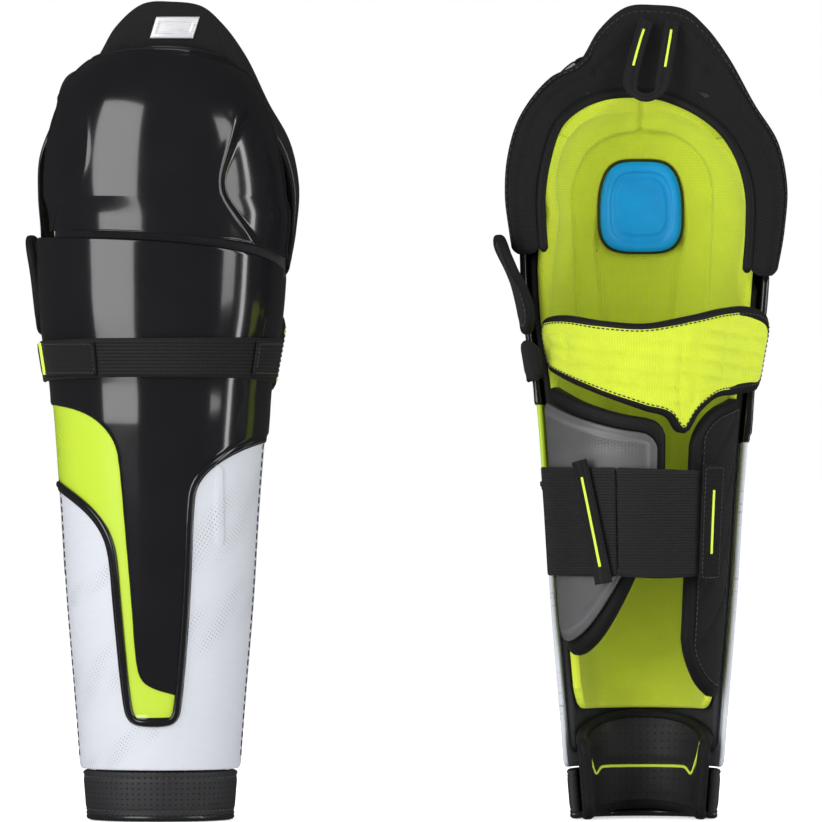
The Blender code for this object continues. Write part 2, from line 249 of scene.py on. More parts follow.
@dataclass(frozen=True)
class Dome(Form):
    """A knee surface: a straight skirt under a rounded top that narrows by powers of a cosine."""

    half_width: float
    depth: float
    rise: float
    power: float
    deep_power: float
    top_drift: float = 0.5
    drift: float = 6.0
    centre: float = 373.0
    skirt: float = 21.0
    tuck: float = 0.0
    nudge: Pair = (0.4, 0.004)

    def shift(self, along: Array) -> Array:
        """Return how far the dome's middle lies towards the inner side, less as it rises."""
        return self.drift + (self.top_drift - self.drift) * smooth(along, -0.6, 0.6)

    def point(self, angle: Array, along: Array, out: Array) -> Array:
        """Return points, where along is -1 at the skirt's foot, 0 at the knee's centre and 1 at the pole."""
        turn = np.radians(angle)
        climb = np.clip(along, 0.0, 0.999) * np.pi / 2
        pitch = climb + np.minimum(along, 0.0) * self.tuck
        x = self.shift(along) + (self.half_width + out) * np.cos(pitch) ** self.power * np.sin(turn)
        f = (self.depth + out) * np.cos(pitch) ** self.deep_power * np.cos(turn)
        z = self.centre + np.minimum(along, 0.0) * self.skirt + (self.rise + out) * np.sin(climb)
        return np.stack(np.broadcast_arrays(x, f, z), axis=-1).astype(float)

    def seen(self, x: Array, z: Array, out: float) -> Tuple[Array, Array]:
        """Return the angle and the along of the front point at an x and a z."""
        pitch = np.arcsin(np.clip((z - self.centre) / (self.rise + out), 0.0, 0.999))
        along = np.where(z > self.centre, pitch / (np.pi / 2), (z - self.centre) / self.skirt)
        pitch = pitch + np.minimum(along, 0.0) * self.tuck
        reach = (self.half_width + out) * np.cos(pitch) ** self.power
        return np.degrees(np.arcsin(np.clip((x - self.shift(along)) / reach, -0.999, 0.999))), along


@dataclass(frozen=True)
class Lining(Form):
    """One lining surface: the leg up to the shell's lip, turning into the knee's inner dome above it.

    The second coordinate is the height up to the dome's centre, and 60 for each whole lift above it.
    """

    leg: Leg
    dome: Dome
    join: Pair = (325.0, 373.0)
    lift: float = 60.0

    def point(self, angle: Array, along: Array, out: Array) -> Array:
        """Return (1 - w) leg + w dome, where w rises smoothly over the join."""
        share = smooth(np.asarray(along, float), *self.join)[..., None]
        centre = self.dome.centre
        low = self.leg.point(angle, np.minimum(along, centre), out)
        over = np.asarray(along, float) - centre
        knee = self.dome.point(angle, np.where(over > 0.0, over / self.lift, over / self.dome.skirt), out)
        return (1 - share) * low + share * knee


LEG = Leg()
KNEE_INNER = Dome(60.0, 44.0, 60.0, 0.75, 0.5)
KNEE_SHELL = Dome(76.0, 66.0, 88.0, 0.66, 0.45, tuck=0.2)
LINING = Lining(LEG, KNEE_INNER)


# ---------------------------------------------------------------- solids


@dataclass
class Solid:
    """A closed mesh in a guard's own frame, with the place of each vertex on its cloth and its masks."""

    points: Array
    faces: List
    cloth: Optional[Array] = None
    masks: Dict[str, Array] = field(default_factory=dict)


def grid_faces(index: Array) -> Array:
    """Return the quads between neighbours of a grid of vertex numbers."""
    return np.stack([index[:-1, :-1], index[:-1, 1:], index[1:, 1:], index[1:, :-1]], axis=-1).reshape(-1, 4)


def pillow(front: Array, back: Array, cloth: Array, masks: Optional[Dict[str, Array]] = None) -> Solid:
    """Close two grids that meet along their border.

    Args:
        front: the outer face's points, rows by columns.
        back: the inner face's points, the same along the border.
        cloth: each point's place on the cloth, in millimetres.
        masks: values for each point, the same on both faces.

    Returns:
        The solid.
    """
    rows, columns = front.shape[:2]
    index = np.arange(rows * columns).reshape(rows, columns)
    other = index.copy()
    other[1:-1, 1:-1] = rows * columns + np.arange((rows - 2) * (columns - 2)).reshape(rows - 2, columns - 2)

    def both(grid: Array, inner: Array) -> Array:
        return np.concatenate([grid.reshape(-1, *grid.shape[2:]), inner[1:-1, 1:-1].reshape(-1, *inner.shape[2:])])

    faces = np.vstack([grid_faces(index), grid_faces(other)[:, ::-1]])
    return Solid(both(front, back), faces.tolist(), both(cloth, cloth),
                 {name: both(value, value) for name, value in (masks or {}).items()})


def tube(rings: Array, closed: bool, girth: Optional[Array] = None) -> Solid:
    """Close a row of rings into a tube, with flat ends unless it joins itself.

    Args:
        rings: points of each ring, rings by places round it.
        closed: whether the last ring joins the first.
        girth: the ring's distances round it for the cloth, or None for equal steps of 1 mm.

    Returns:
        The solid.
    """
    count, round_ = rings.shape[:2]
    index = np.arange(count * round_).reshape(count, round_)
    index = np.hstack([index, index[:, :1]])
    if closed:
        index = np.vstack([index, index[:1]])
    faces = grid_faces(index).tolist()
    if not closed:
        faces += [list(range(round_))[::-1], list(range((count - 1) * round_, count * round_))]
    spans = np.linalg.norm(np.diff(rings.mean(axis=1), axis=0), axis=1)
    along = np.concatenate([[0.0], np.cumsum(spans)])
    around = np.arange(round_, dtype=float) if girth is None else girth
    cloth = np.stack(np.meshgrid(along, around, indexing="ij"), axis=-1)
    return Solid(rings.reshape(-1, 3), faces, cloth.reshape(-1, 2))


def oval(width: float, height: float, count: int = 12, squareness: float = 2.0) -> Array:
    """Return a ring |x/a|^n + |y/b|^n = 1 about the origin, as count points."""
    turn = np.linspace(0.0, 2 * np.pi, count, endpoint=False)
    power = 2.0 / squareness
    x = np.sign(np.cos(turn)) * np.abs(np.cos(turn)) ** power * width / 2
    y = np.sign(np.sin(turn)) * np.abs(np.sin(turn)) ** power * height / 2
    return np.stack([x, y], axis=1)


def swept(path: Array, normals: Array, profile: Array, closed: bool = False,
          girth: Optional[Array] = None) -> Solid:
    """Carry a profile along a path on a surface.

    At each point the profile's first axis lies in the surface, square to the path, and its second axis
    is the surface's normal made square to the path.

    Args:
        path: the path's points.
        normals: the surface's normal at each of them.
        profile: the ring carried, its two axes in millimetres.
        closed: whether the path joins itself.
        girth: a scale of the profile at each point, or None.

    Returns:
        The solid.
    """
    if closed:
        tangent = np.roll(path, -1, axis=0) - np.roll(path, 1, axis=0)
    else:
        tangent = np.gradient(path, axis=0)
    tangent = unit(tangent)
    side = unit(np.cross(normals, tangent))
    upward = np.cross(tangent, side)
    scale = np.ones(len(path)) if girth is None else girth
    ring = profile[None, :, :] * scale[:, None, None]
    return tube(path[:, None, :] + ring[:, :, :1] * side[:, None, :] + ring[:, :, 1:] * upward[:, None, :], closed)


def ends_taper(count: int, share: float) -> Array:
    """Return a scale along a path that is round at both ends: sqrt(1 - (1 - t)^2) over a share of it."""
    t = np.clip(np.minimum(np.arange(count), np.arange(count)[::-1]) / max(share * count, 1.0) + 0.08, 0.0, 1.0)
    return np.sqrt(1.0 - (1.0 - t) ** 2)


def dashes(path: Array, normals: Array, pitch: float, length: float, width: float, height: float) -> Solid:
    """Lay stitches along a path: short rounded bars at equal steps of its length.

    Args:
        path: the seam's points.
        normals: the surface's normal at each of them.
        pitch: from one stitch to the next.
        length: a stitch's length.
        width: a stitch's width.
        height: how proud of the path it stands.

    Returns:
        All the stitches as one solid.
    """
    spans = lengths_along(path)
    at = np.arange(pitch / 2, spans[-1], pitch)

    def along(table: Array, where: Array) -> Array:
        return np.stack([np.interp(where, spans, table[:, axis]) for axis in range(3)], axis=1)

    centre = along(path, at)
    tangent = along(path, at + length / 2) - along(path, at - length / 2)
    tangent /= np.maximum(np.linalg.norm(tangent, axis=1, keepdims=True), 1e-6)
    upward = along(normals, at)
    side = np.cross(upward, tangent)
    side /= np.maximum(np.linalg.norm(side, axis=1, keepdims=True), 1e-6)
    stations = np.array([-1.0, -0.72, 0.72, 1.0]) * length / 2
    girths = np.array([0.35, 1.0, 1.0, 0.35])
    turn = np.linspace(0.0, 2 * np.pi, 6, endpoint=False)
    bar = (centre[:, None, None, :] + stations[None, :, None, None] * tangent[:, None, None, :]
           + (girths[:, None] * np.cos(turn))[None, :, :, None] * side[:, None, None, :] * width / 2
           + (girths[:, None] * np.sin(turn))[None, :, :, None] * upward[:, None, None, :] * height)
    one = np.arange(24).reshape(4, 6)
    quads = grid_faces(np.hstack([one, one[:, :1]]))
    starts = (np.arange(len(at)) * 24)[:, None, None]
    faces = (quads[None] + starts).reshape(-1, 4).tolist()
    faces += (one[:1, ::-1][None] + starts).reshape(-1, 6).tolist()
    faces += (one[3:][None] + starts).reshape(-1, 6).tolist()
    return Solid(bar.reshape(-1, 3), faces)


def joined(parts: Sequence[Solid]) -> Solid:
    """Return several solids as one mesh."""
    points, faces, cloth, start = [], [], [], 0
    for part in parts:
        points.append(part.points)
        faces += [[vertex + start for vertex in face] for face in part.faces]
        cloth.append(part.cloth if part.cloth is not None else np.zeros((len(part.points), 2)))
        start += len(part.points)
    return Solid(np.vstack(points), faces, np.vstack(cloth))


# ---------------------------------------------------------------- panels


@dataclass(frozen=True)
class Edge:
    """A panel's edge: its height at some angles, smooth between them."""

    places: Tuple[Pair, ...]

    def __call__(self, angle: Array) -> Array:
        """Return the height at each angle."""
        return hermite(angle, [place[0] for place in self.places], [place[1] for place in self.places])


def flat_edge(height: float) -> Level:
    """Return an edge at one height."""
    return lambda angle: np.full(np.shape(angle), float(height))


def spread(length: float, roll: float, step: float) -> Array:
    """Return places from 0 to a length, close together within a roll of each end."""
    near = np.array([0.0, 0.035, 0.14, 0.32, 0.6, 1.0]) * min(roll, length * 0.45)
    count = max(int(round((length - 2 * near[-1]) / step)), 2)
    middle = np.linspace(near[-1], length - near[-1], count + 1)
    return np.concatenate([near[:-1], middle, (length - near[:-1])[::-1]])


@dataclass
class Panel:
    """A closed layer of a surface between two angles and two edges, with rounded corners and edges."""

    form: Form
    angles: Pair
    low: Level
    high: Level
    out: float
    thickness: float
    corner: float = 4.0
    roll: float = 2.0
    step: float = 2.0
    flare: float = 0.0
    bulge: Tuple[float, float, float] = (0.0, 1.0, 0.0)

    def __post_init__(self) -> None:
        """Work out the panel's grid: each point's angle, height, and distance from the border."""
        middle = np.mean(self.angles)
        tall = float(self.high(np.array(middle)) - self.low(np.array(middle)))
        reach = np.linalg.norm(self.form.point(middle + 0.5, float(self.low(np.array(middle))) + tall / 2, self.out)
                               - self.form.point(middle - 0.5, float(self.low(np.array(middle))) + tall / 2, self.out))
        self.per_degree = float(reach)
        self.width = (self.angles[1] - self.angles[0]) * self.per_degree
        self.across = spread(self.width, self.roll, self.step)
        share = spread(tall, self.roll, self.step) / tall
        angle = self.angles[0] + self.across / self.per_degree
        low, high = self.trimmed(angle, self.across, 0.0)
        self.angle = np.broadcast_to(angle, (len(share), len(angle)))
        self.height = low + (high - low) * share[:, None]
        side = np.minimum(self.across, self.width - self.across)
        upright = np.minimum(self.height - low, high - self.height)
        self.border = np.minimum(np.broadcast_to(side, upright.shape), np.maximum(upright, 0.0))
        self.border[[0, -1]] = 0.0
        self.border[:, [0, -1]] = 0.0
        self.cloth = np.stack([np.broadcast_to(self.across, self.height.shape), self.height], axis=-1)

    def trimmed(self, angle: Array, across: Array, inset: float) -> Tuple[Array, Array]:
        """Return the two edges' heights, drawn in by an inset and by the corners' circles."""
        radius = max(self.corner - inset, 0.5)
        near = np.clip(np.minimum(across, self.width - across) - inset, 0.0, radius)
        cut = radius - np.sqrt(np.maximum(radius ** 2 - (radius - near) ** 2, 0.0)) + inset
        low, high = self.low(angle), self.high(angle)
        cut = np.minimum(cut, (high - low) * 0.49)
        return low + cut, high - cut

    def round(self) -> Array:
        """Return the share of the thickness at each point: sqrt(1 - (1 - d/roll)^2) near the border."""
        return bevel(self.border, self.roll)

    def seen(self) -> Array:
        """Return each point's x and z."""
        return self.form.point(self.angle, self.height, self.out)[..., [0, 2]]

    def lean(self) -> Array:
        """Return how far each point is pushed out."""
        return self.lift_of(self.height, self.angle)

    def solid(self, relief: Union[float, Array] = 0.0, inner: Union[float, Array] = 0.0,
              masks: Optional[Dict[str, Array]] = None) -> Solid:
        """Close the panel.

        Args:
            relief: how far the outer face is pushed out at each point.
            inner: how far the inner face is pushed in towards the leg at each point.
            masks: values for the finish at each point.

        Returns:
            The solid.
        """
        share, half = self.round(), self.thickness / 2
        middle = self.out + half + self.lean()
        front = self.form.point(self.angle, self.height, middle + (half + relief) * share)
        back = self.form.point(self.angle, self.height, middle - (half + inner) * share)
        return pillow(front, back, self.cloth, masks)

    def outline(self, inset: float, step: float = 1.5) -> Tuple[Array, Array]:
        """Return the closed line that runs inside the border at an inset, as angles and heights."""
        across = np.linspace(inset, self.width - inset, max(int(self.width / step), 8))
        angle = self.angles[0] + across / self.per_degree
        low, high = self.trimmed(angle, across, inset)
        rise = np.linspace(0.0, 1.0, max(int((high[-1] - low[-1]) / step), 3))[1:-1]
        angles = [angle, np.full(len(rise), angle[-1]), angle[::-1], np.full(len(rise), angle[0])]
        heights = [low, low[-1] + (high[-1] - low[-1]) * rise, high[::-1], high[0] + (low[0] - high[0]) * rise]
        return np.concatenate(angles), np.concatenate(heights)

    def lift_of(self, height: Array, angle: Array) -> Array:
        """Return the flare times the squared share of the height, plus the bulge, which fades between two angles."""
        low, high = self.low(angle), self.high(angle)
        lifted = self.flare * np.clip((height - low) / np.maximum(high - low, 1.0), 0.0, 1.0) ** 2
        return lifted + self.bulge[2] * smooth(angle, self.bulge[0], self.bulge[1])

    def line(self, angle: Array, height: Array, rise: float, step: float = 1.5,
             closed: bool = False) -> Tuple[Array, Array]:
        """Return a line on the panel at a rise above its inner face, as points and normals."""
        places = resampled(np.stack([angle * self.per_degree, height], axis=1), step, closed)
        turn, tall = places[:, 0] / self.per_degree, places[:, 1]
        out = self.out + rise + self.lift_of(tall, turn)
        return self.form.point(turn, tall, out), self.form.normal(turn, tall, out)

    def binding(self, width: float, proud: float, inset: float = 2.0) -> Solid:
        """Return a bound edge: a flat oval carried round the border, wider than the layer is thick."""
        path, normals = self.line(*self.outline(inset), self.thickness / 2, closed=True)
        return swept(path, normals, oval(width, self.thickness + 2 * proud, 14, 2.8), closed=True)

    def seam(self, inset: float, pitch: float = 3.4, length: float = 2.3, width: float = 0.7,
             rise: float = 0.2) -> Solid:
        """Return a row of stitches round the outer face at an inset from the border."""
        path, normals = self.line(*self.outline(inset), self.thickness + rise, closed=True)
        return dashes(path, normals, pitch, length, width, 0.35)


# ---------------------------------------------------------------- shader building


Number = Union[float, "Value"]


class Value:
    """A number's socket in a material, which takes part in arithmetic by adding Math nodes."""

    def __init__(self, shader: "Shader", socket: bpy.types.NodeSocket) -> None:
        """Keep the socket and the shader that it belongs to."""
        self.shader = shader
        self.socket = socket

    def math(self, operation: str, *others: Number) -> "Value":
        """Return this value put through a Math node with the others."""
        node = self.shader.node("ShaderNodeMath", {"operation": operation}, {0: self, **dict(enumerate(others, 1))})
        return Value(self.shader, node.outputs[0])

    def __add__(self, other: Number) -> "Value":
        """Return the sum."""
        return self.math("ADD", other)

    def __mul__(self, other: Number) -> "Value":
        """Return the product."""
        return self.math("MULTIPLY", other)

    def __sub__(self, other: Number) -> "Value":
        """Return the difference."""
        return self.math("SUBTRACT", other)

    def __rsub__(self, other: Number) -> "Value":
        """Return the other less this."""
        return (self * -1.0) + other

    __radd__ = __add__
    __rmul__ = __mul__

    def step(self, low: float, high: float) -> "Value":
        """Return 0 below low, 1 above high and a smooth rise between them."""
        node = self.shader.node("ShaderNodeMapRange", {"interpolation_type": "SMOOTHSTEP"},
                                {"Value": self, "From Min": low, "From Max": high})
        return Value(self.shader, node.outputs["Result"])

    def wave(self, pitch: float) -> "Value":
        """Return a wave between 0 and 1 that repeats at a pitch."""
        return (self * (2 * np.pi / pitch)).math("SINE") * 0.5 + 0.5


class Shader:
    """One material's node tree, with a Principled shader at its end."""

    def __init__(self, name: str) -> None:
        """Make the material with an empty tree."""
        self.material = bpy.data.materials.new(name)
        self.material.use_nodes = True
        self.tree = self.material.node_tree
        self.tree.nodes.clear()
        self.surface = self.node("ShaderNodeBsdfPrincipled")
        self.node("ShaderNodeOutputMaterial", {}, {"Surface": self.surface.outputs[0]})

    def node(self, kind: str, settings: Optional[dict] = None, inputs: Optional[dict] = None) -> bpy.types.Node:
        """Add a node.

        Args:
            kind: the node's type.
            settings: its settings, which are made first; a ramp's stops are its "stops".
            inputs: values, sockets or Values for its sockets, by name or number.

        Returns:
            The node.
        """
        node = self.tree.nodes.new(kind)
        for name, setting in (settings or {}).items():
            if name == "stops":
                ramp = node.color_ramp
                for index, (place, colour) in enumerate(setting):
                    stop = ramp.elements[index] if index < 2 else ramp.elements.new(place)
                    stop.position, stop.color = place, (*colour, 1.0)
            else:
                setattr(node, name, setting)
        for name, value in (inputs or {}).items():
            self.feed(node.inputs[name], value)
        return node

    def feed(self, socket: bpy.types.NodeSocket, value: object) -> None:
        """Set a socket's own value, or link a socket or a Value to it."""
        if isinstance(value, Value):
            self.tree.links.new(value.socket, socket)
        elif isinstance(value, bpy.types.NodeSocket):
            self.tree.links.new(value, socket)
        elif isinstance(value, tuple) and len(value) == 3 and len(socket.default_value) == 4:
            socket.default_value = (*value, 1.0)
        else:
            socket.default_value = value

    def set(self, **values: object) -> None:
        """Set sockets of the Principled shader; an underscore in a name stands for a space."""
        for name, value in values.items():
            self.feed(self.surface.inputs[name.replace("_", " ")], value)

    def objects(self) -> bpy.types.NodeSocket:
        """Return the object's own coordinates, in metres."""
        return self.node("ShaderNodeTexCoord").outputs["Object"]

    def cloth(self) -> Tuple[Value, Value]:
        """Return the two coordinates on the piece's cloth, in millimetres."""
        uv = self.node("ShaderNodeUVMap", {"uv_map": "cloth"})
        split = self.node("ShaderNodeSeparateXYZ", {}, {0: uv.outputs[0]})
        return Value(self, split.outputs[0]), Value(self, split.outputs[1])

    def mask(self, name: str) -> Value:
        """Return one of the piece's masks."""
        return Value(self, self.node("ShaderNodeAttribute", {"attribute_name": name}).outputs["Fac"])

    def noise(self, scale: float, detail: float = 3.0, roughness: float = 0.55) -> Value:
        """Return a noise on object coordinates, near 0.5, with a scale in cycles for each metre."""
        node = self.node("ShaderNodeTexNoise", {}, {"Vector": self.objects(), "Scale": scale, "Detail": detail,
                                                    "Roughness": roughness})
        return Value(self, node.outputs["Fac"])

    def mix(self, share: Number, first: object, second: object) -> bpy.types.NodeSocket:
        """Return a colour between two."""
        node = self.node("ShaderNodeMix", {"data_type": "RGBA"}, {"Factor": share})
        self.feed(node.inputs[6], first)
        self.feed(node.inputs[7], second)
        return node.outputs[2]

    def bump(self, height: Value, distance: float, strength: float = 1.0) -> None:
        """Give the surface a relief of a height times a distance in metres."""
        node = self.node("ShaderNodeBump", {}, {"Height": height, "Distance": distance, "Strength": strength})
        self.set(Normal=node.outputs[0])


# ---------------------------------------------------------------- finishes


@dataclass(frozen=True)
class Finish:
    """A procedural finish: its name and its main colour."""

    name: str
    colour: Colour

    def made(self) -> bpy.types.Material:
        """Return the material, made the first time that it is asked for."""
        found = bpy.data.materials.get(self.name)
        if found is None:
            shader = Shader(self.name)
            self.paint(shader)
            found = shader.material
            found.diffuse_color = (*self.colour, 1.0)
        return found

    def paint(self, shader: Shader) -> None:
        """Build the nodes."""
        raise NotImplementedError

    def tone(self, share: float) -> Colour:
        """Return the colour darkened or lightened by a share."""
        return tuple(min(channel * share, 1.0) for channel in self.colour)


@dataclass(frozen=True)
class GlossPlastic(Finish):
    """Moulded plastic with a soft ripple, faint rubbing marks and a clear top."""

    roughness: float = 0.13

    def paint(self, shader: Shader) -> None:
        """Mix two close tones, vary the roughness with fine scuffs and add a ripple."""
        scuffs = shader.noise(900.0, 4.0).step(0.62, 0.78)
        haze = shader.noise(35.0, 2.0)
        shader.set(Base_Color=shader.mix(haze, self.tone(0.85), self.tone(1.2)),
                   Roughness=haze * 0.08 + scuffs * 0.16 + (self.roughness - 0.04),
                   Coat_Weight=0.35, Coat_Roughness=0.05, IOR=1.47)
        shader.bump(shader.noise(45.0, 1.0) + scuffs * 0.06, 0.00008)


@dataclass(frozen=True)
class ShellPrint(GlossPlastic):
    """The shell's plastic with its printed zones: side panels, the inlaid band and the plain rest."""

    panel: Colour = (0.50, 0.515, 0.555)
    band: Colour = (0.39, 0.54, 0.025)

    def paint(self, shader: Shader) -> None:
        """Read the zones' signed distances, and give each zone its own colour, gloss and relief."""
        white = shader.mask("panel").step(-0.25, 0.25)
        lime = shader.mask("band").step(-0.25, 0.25)
        across, upward = shader.cloth()
        lean = across * 0.62 + upward
        cross = across - upward * 0.62
        dots = (lean.wave(2.5) * cross.wave(2.5)).step(0.55, 0.78)
        patches = shader.mask("halftone") * (cross.wave(23.0) * 0.7 + 0.3)
        printed = dots * patches * white
        haze = shader.noise(35.0, 2.0)
        scuffs = shader.noise(900.0, 4.0).step(0.62, 0.78)
        black = shader.mix(haze, self.tone(0.85), self.tone(1.2))
        pale = shader.mix(printed * 0.9, shader.mix(haze * 0.6, self.panel, (0.47, 0.485, 0.53)), (0.22, 0.235, 0.27))
        inlay = shader.mix(haze * 0.4, self.band, (0.46, 0.61, 0.045))
        shader.set(Base_Color=shader.mix(white, shader.mix(lime, black, inlay), pale),
                   Roughness=haze * 0.07 + scuffs * 0.14 + white * 0.26 + lime * 0.16 + (self.roughness - 0.04),
                   Coat_Weight=(1 - white) * 0.35, Coat_Roughness=0.05, IOR=1.47)
        grain = white * (across.wave(1.3) + upward.wave(1.3)) * 0.22
        shader.bump(shader.noise(45.0, 1.0) + grain * 3.0 + printed * 1.2 + scuffs * 0.06, 0.00008)


@dataclass(frozen=True)
class Knit(Finish):
    """A knitted cloth over foam: columns of loops with painted light on their tops and painted shade in their hollows,
    a soft nap and a faint mottling.
    """

    pitch: float = 1.3
    depth: float = 0.00022
    sheen: float = 0.35
    light: float = 1.12
    roughness: float = 0.85

    def paint(self, shader: Shader) -> None:
        """Make loops from two crossed waves, and paint light on their tops and shade in their hollows."""
        across, upward = shader.cloth()
        column = across.wave(self.pitch)
        loops = column * (upward + column * (0.4 * self.pitch)).wave(self.pitch * 0.8)
        mottle = shader.noise(70.0, 4.0)
        fibre = shader.noise(2600.0, 2.0)
        share = loops * 0.55 + mottle * 0.4 + fibre * 0.2
        # painted light and shade: the colour runs from the dark tone in the loops' hollows to the light tone on their
        # tops, mixed with random mottle and fibre
        shader.set(Base_Color=shader.mix(share, self.tone(0.72), self.tone(self.light)),
                   Roughness=mottle * 0.12 + (self.roughness - 0.06),
                   Sheen_Weight=self.sheen, Sheen_Roughness=0.45, Specular_IOR_Level=0.25)
        shader.bump(loops + fibre * 0.5 + mottle * 0.6, self.depth)


@dataclass(frozen=True)
class Webbing(Finish):
    """Woven strap: ribs along it, picks across it, and a slight shine on the ribs from lower roughness, with painted
    light on the rib tops and painted shade between them.
    """

    rib: float = 2.1
    pick: float = 1.0
    twill: float = 0.0
    roughness: float = 0.62

    def paint(self, shader: Shader) -> None:
        """Make ribs and picks, with a diagonal when the weave is a twill, and paint the colour lighter on their tops
        and darker between them.
        """
        across, upward = shader.cloth()
        ribs = upward.wave(self.rib)
        picks = (across + upward * self.twill).wave(self.pick)
        weave = ribs * 0.6 + picks * 0.4
        mottle = shader.noise(220.0, 3.0)
        # painted light and shade: the colour is lighter on the tops of the ribs and picks and darker between them,
        # mixed with random mottle
        shader.set(Base_Color=shader.mix(weave * 0.7 + mottle * 0.3, self.tone(0.6), self.tone(1.7)),
                   Roughness=(1 - weave) * 0.2 + mottle * 0.1 + (self.roughness - 0.1),
                   Sheen_Weight=0.04, Sheen_Roughness=0.4, Specular_IOR_Level=0.32)
        shader.bump(weave + mottle * 0.35, 0.00032)


@dataclass(frozen=True)
class Perforated(Finish):
    """Smooth synthetic cloth with rows of small holes, darkened with painted shade."""

    pitch: float = 3.0
    hole: float = 0.8
    roughness: float = 0.6

    def paint(self, shader: Shader) -> None:
        """Darken the dots of a lattice with painted shade inside the holes, and sink them in a fine grain."""
        across, upward = shader.cloth()
        lattice = across.wave(self.pitch) * upward.wave(self.pitch)
        holes = lattice.step(self.hole, min(self.hole + 0.12, 1.0))
        grain = shader.noise(1500.0, 3.0)
        mottle = shader.noise(60.0, 2.0)
        # painted shade: the holes' colour is darkened to 0.3 of the tone
        shader.set(Base_Color=shader.mix(holes, shader.mix(mottle, self.tone(0.8), self.tone(1.25)), self.tone(0.3)),
                   Roughness=mottle * 0.12 + holes * 0.2 + (self.roughness - 0.06), Specular_IOR_Level=0.4)
        shader.bump(grain * 0.35 - holes, 0.0003)


@dataclass(frozen=True)
class PlateFilm(Finish):
    """A satin grey plate with waves of tiny raised dots over part of it, and a painted highlight along its bevel."""

    def paint(self, shader: Shader) -> None:
        """Bend a lattice of dots by a slow wave, keep it to the mask, and paint a highlight along the bevel mask."""
        across, upward = shader.cloth()
        bent = upward + across.wave(26.0) * 5.0
        dots = (across.wave(1.9) * bent.wave(1.9)).step(0.5, 0.78)
        patch = dots * shader.mask("dotted")
        grain = shader.noise(1200.0, 3.0)
        haze = shader.noise(45.0, 2.0)
        # painted highlight: the bevel mask lightens the colour to 1.5 times the tone along the plate's bevel
        rim = shader.mask("bevel")
        base = shader.mix(haze, self.tone(0.85), self.tone(1.15))
        shader.set(Base_Color=shader.mix(patch, shader.mix(rim, base, self.tone(1.5)), self.tone(0.5)),
                   Roughness=haze * 0.12 + patch * 0.15 + grain * 0.08 + 0.3, Specular_IOR_Level=0.5)
        shader.bump(patch * 0.8 + grain * 0.3, 0.0002)


@dataclass(frozen=True)
class Gel(Finish):
    """A soft moulded gel, slightly cloudy under a smooth skin."""

    def paint(self, shader: Shader) -> None:
        """Cloud the colour, and lighten its thin edges with a little scatter."""
        cloud = shader.noise(60.0, 3.0)
        fine = shader.noise(700.0, 2.0)
        shader.set(Base_Color=shader.mix(cloud, self.tone(0.85), (0.001, 0.33, 0.72)),
                   Roughness=cloud * 0.12 + fine * 0.06 + 0.24, Subsurface_Weight=0.15, Subsurface_Scale=0.004,
                   Specular_IOR_Level=0.3)
        shader.bump(fine * 0.4 + cloud, 0.00012)


@dataclass(frozen=True)
class Foam(Finish):
    """Closed-cell foam, pitted all over."""

    def paint(self, shader: Shader) -> None:
        """Pit the surface with cells."""
        cells = shader.node("ShaderNodeTexVoronoi", {}, {"Vector": shader.objects(), "Scale": 900.0})
        pits = Value(shader, cells.outputs["Distance"])
        mottle = shader.noise(90.0, 3.0)
        shader.set(Base_Color=shader.mix(mottle, self.tone(0.75), self.tone(1.3)),
                   Roughness=mottle * 0.08 + 0.86, Specular_IOR_Level=0.2)
        shader.bump(pits + mottle * 0.3, 0.0002)


@dataclass(frozen=True)
class Thread(Finish):
    """Twisted sewing thread."""

    roughness: float = 0.6

    def paint(self, shader: Shader) -> None:
        """Twist fine noise along the thread."""
        twist = shader.noise(3200.0, 2.0)
        shader.set(Base_Color=shader.mix(twist, self.tone(0.7), self.tone(1.3)),
                   Roughness=twist * 0.15 + (self.roughness - 0.07), Sheen_Weight=0.15)
        shader.bump(twist, 0.0001)


@dataclass(frozen=True)
class BrushedMetal(Finish):
    """Silver film with a fine brushing across it."""

    def paint(self, shader: Shader) -> None:
        """Stretch a noise sideways for the brushing."""
        lie = shader.node("ShaderNodeMapping", {}, {"Vector": shader.objects(), "Scale": (90.0, 90.0, 2600.0)})
        brush = shader.node("ShaderNodeTexNoise", {}, {"Vector": lie.outputs[0], "Scale": 1.0, "Detail": 3.0})
        lines = Value(shader, brush.outputs["Fac"])
        shader.set(Base_Color=shader.mix(lines, self.tone(0.8), self.tone(1.2)), Metallic=0.25,
                   Roughness=lines * 0.15 + 0.22)
        shader.bump(lines, 0.00006)


@dataclass(frozen=True)
class Paper(Finish):
    """The pale floor."""

    def paint(self, shader: Shader) -> None:
        """Leave it plain, with a very faint grain."""
        grain = shader.noise(400.0, 2.0)
        glow = shader.mix(grain, self.tone(0.99), self.colour)
        shader.set(Base_Color=glow, Emission_Color=glow, Emission_Strength=0.5, Roughness=0.9 + grain * 0.05,
                   Specular_IOR_Level=0.1)


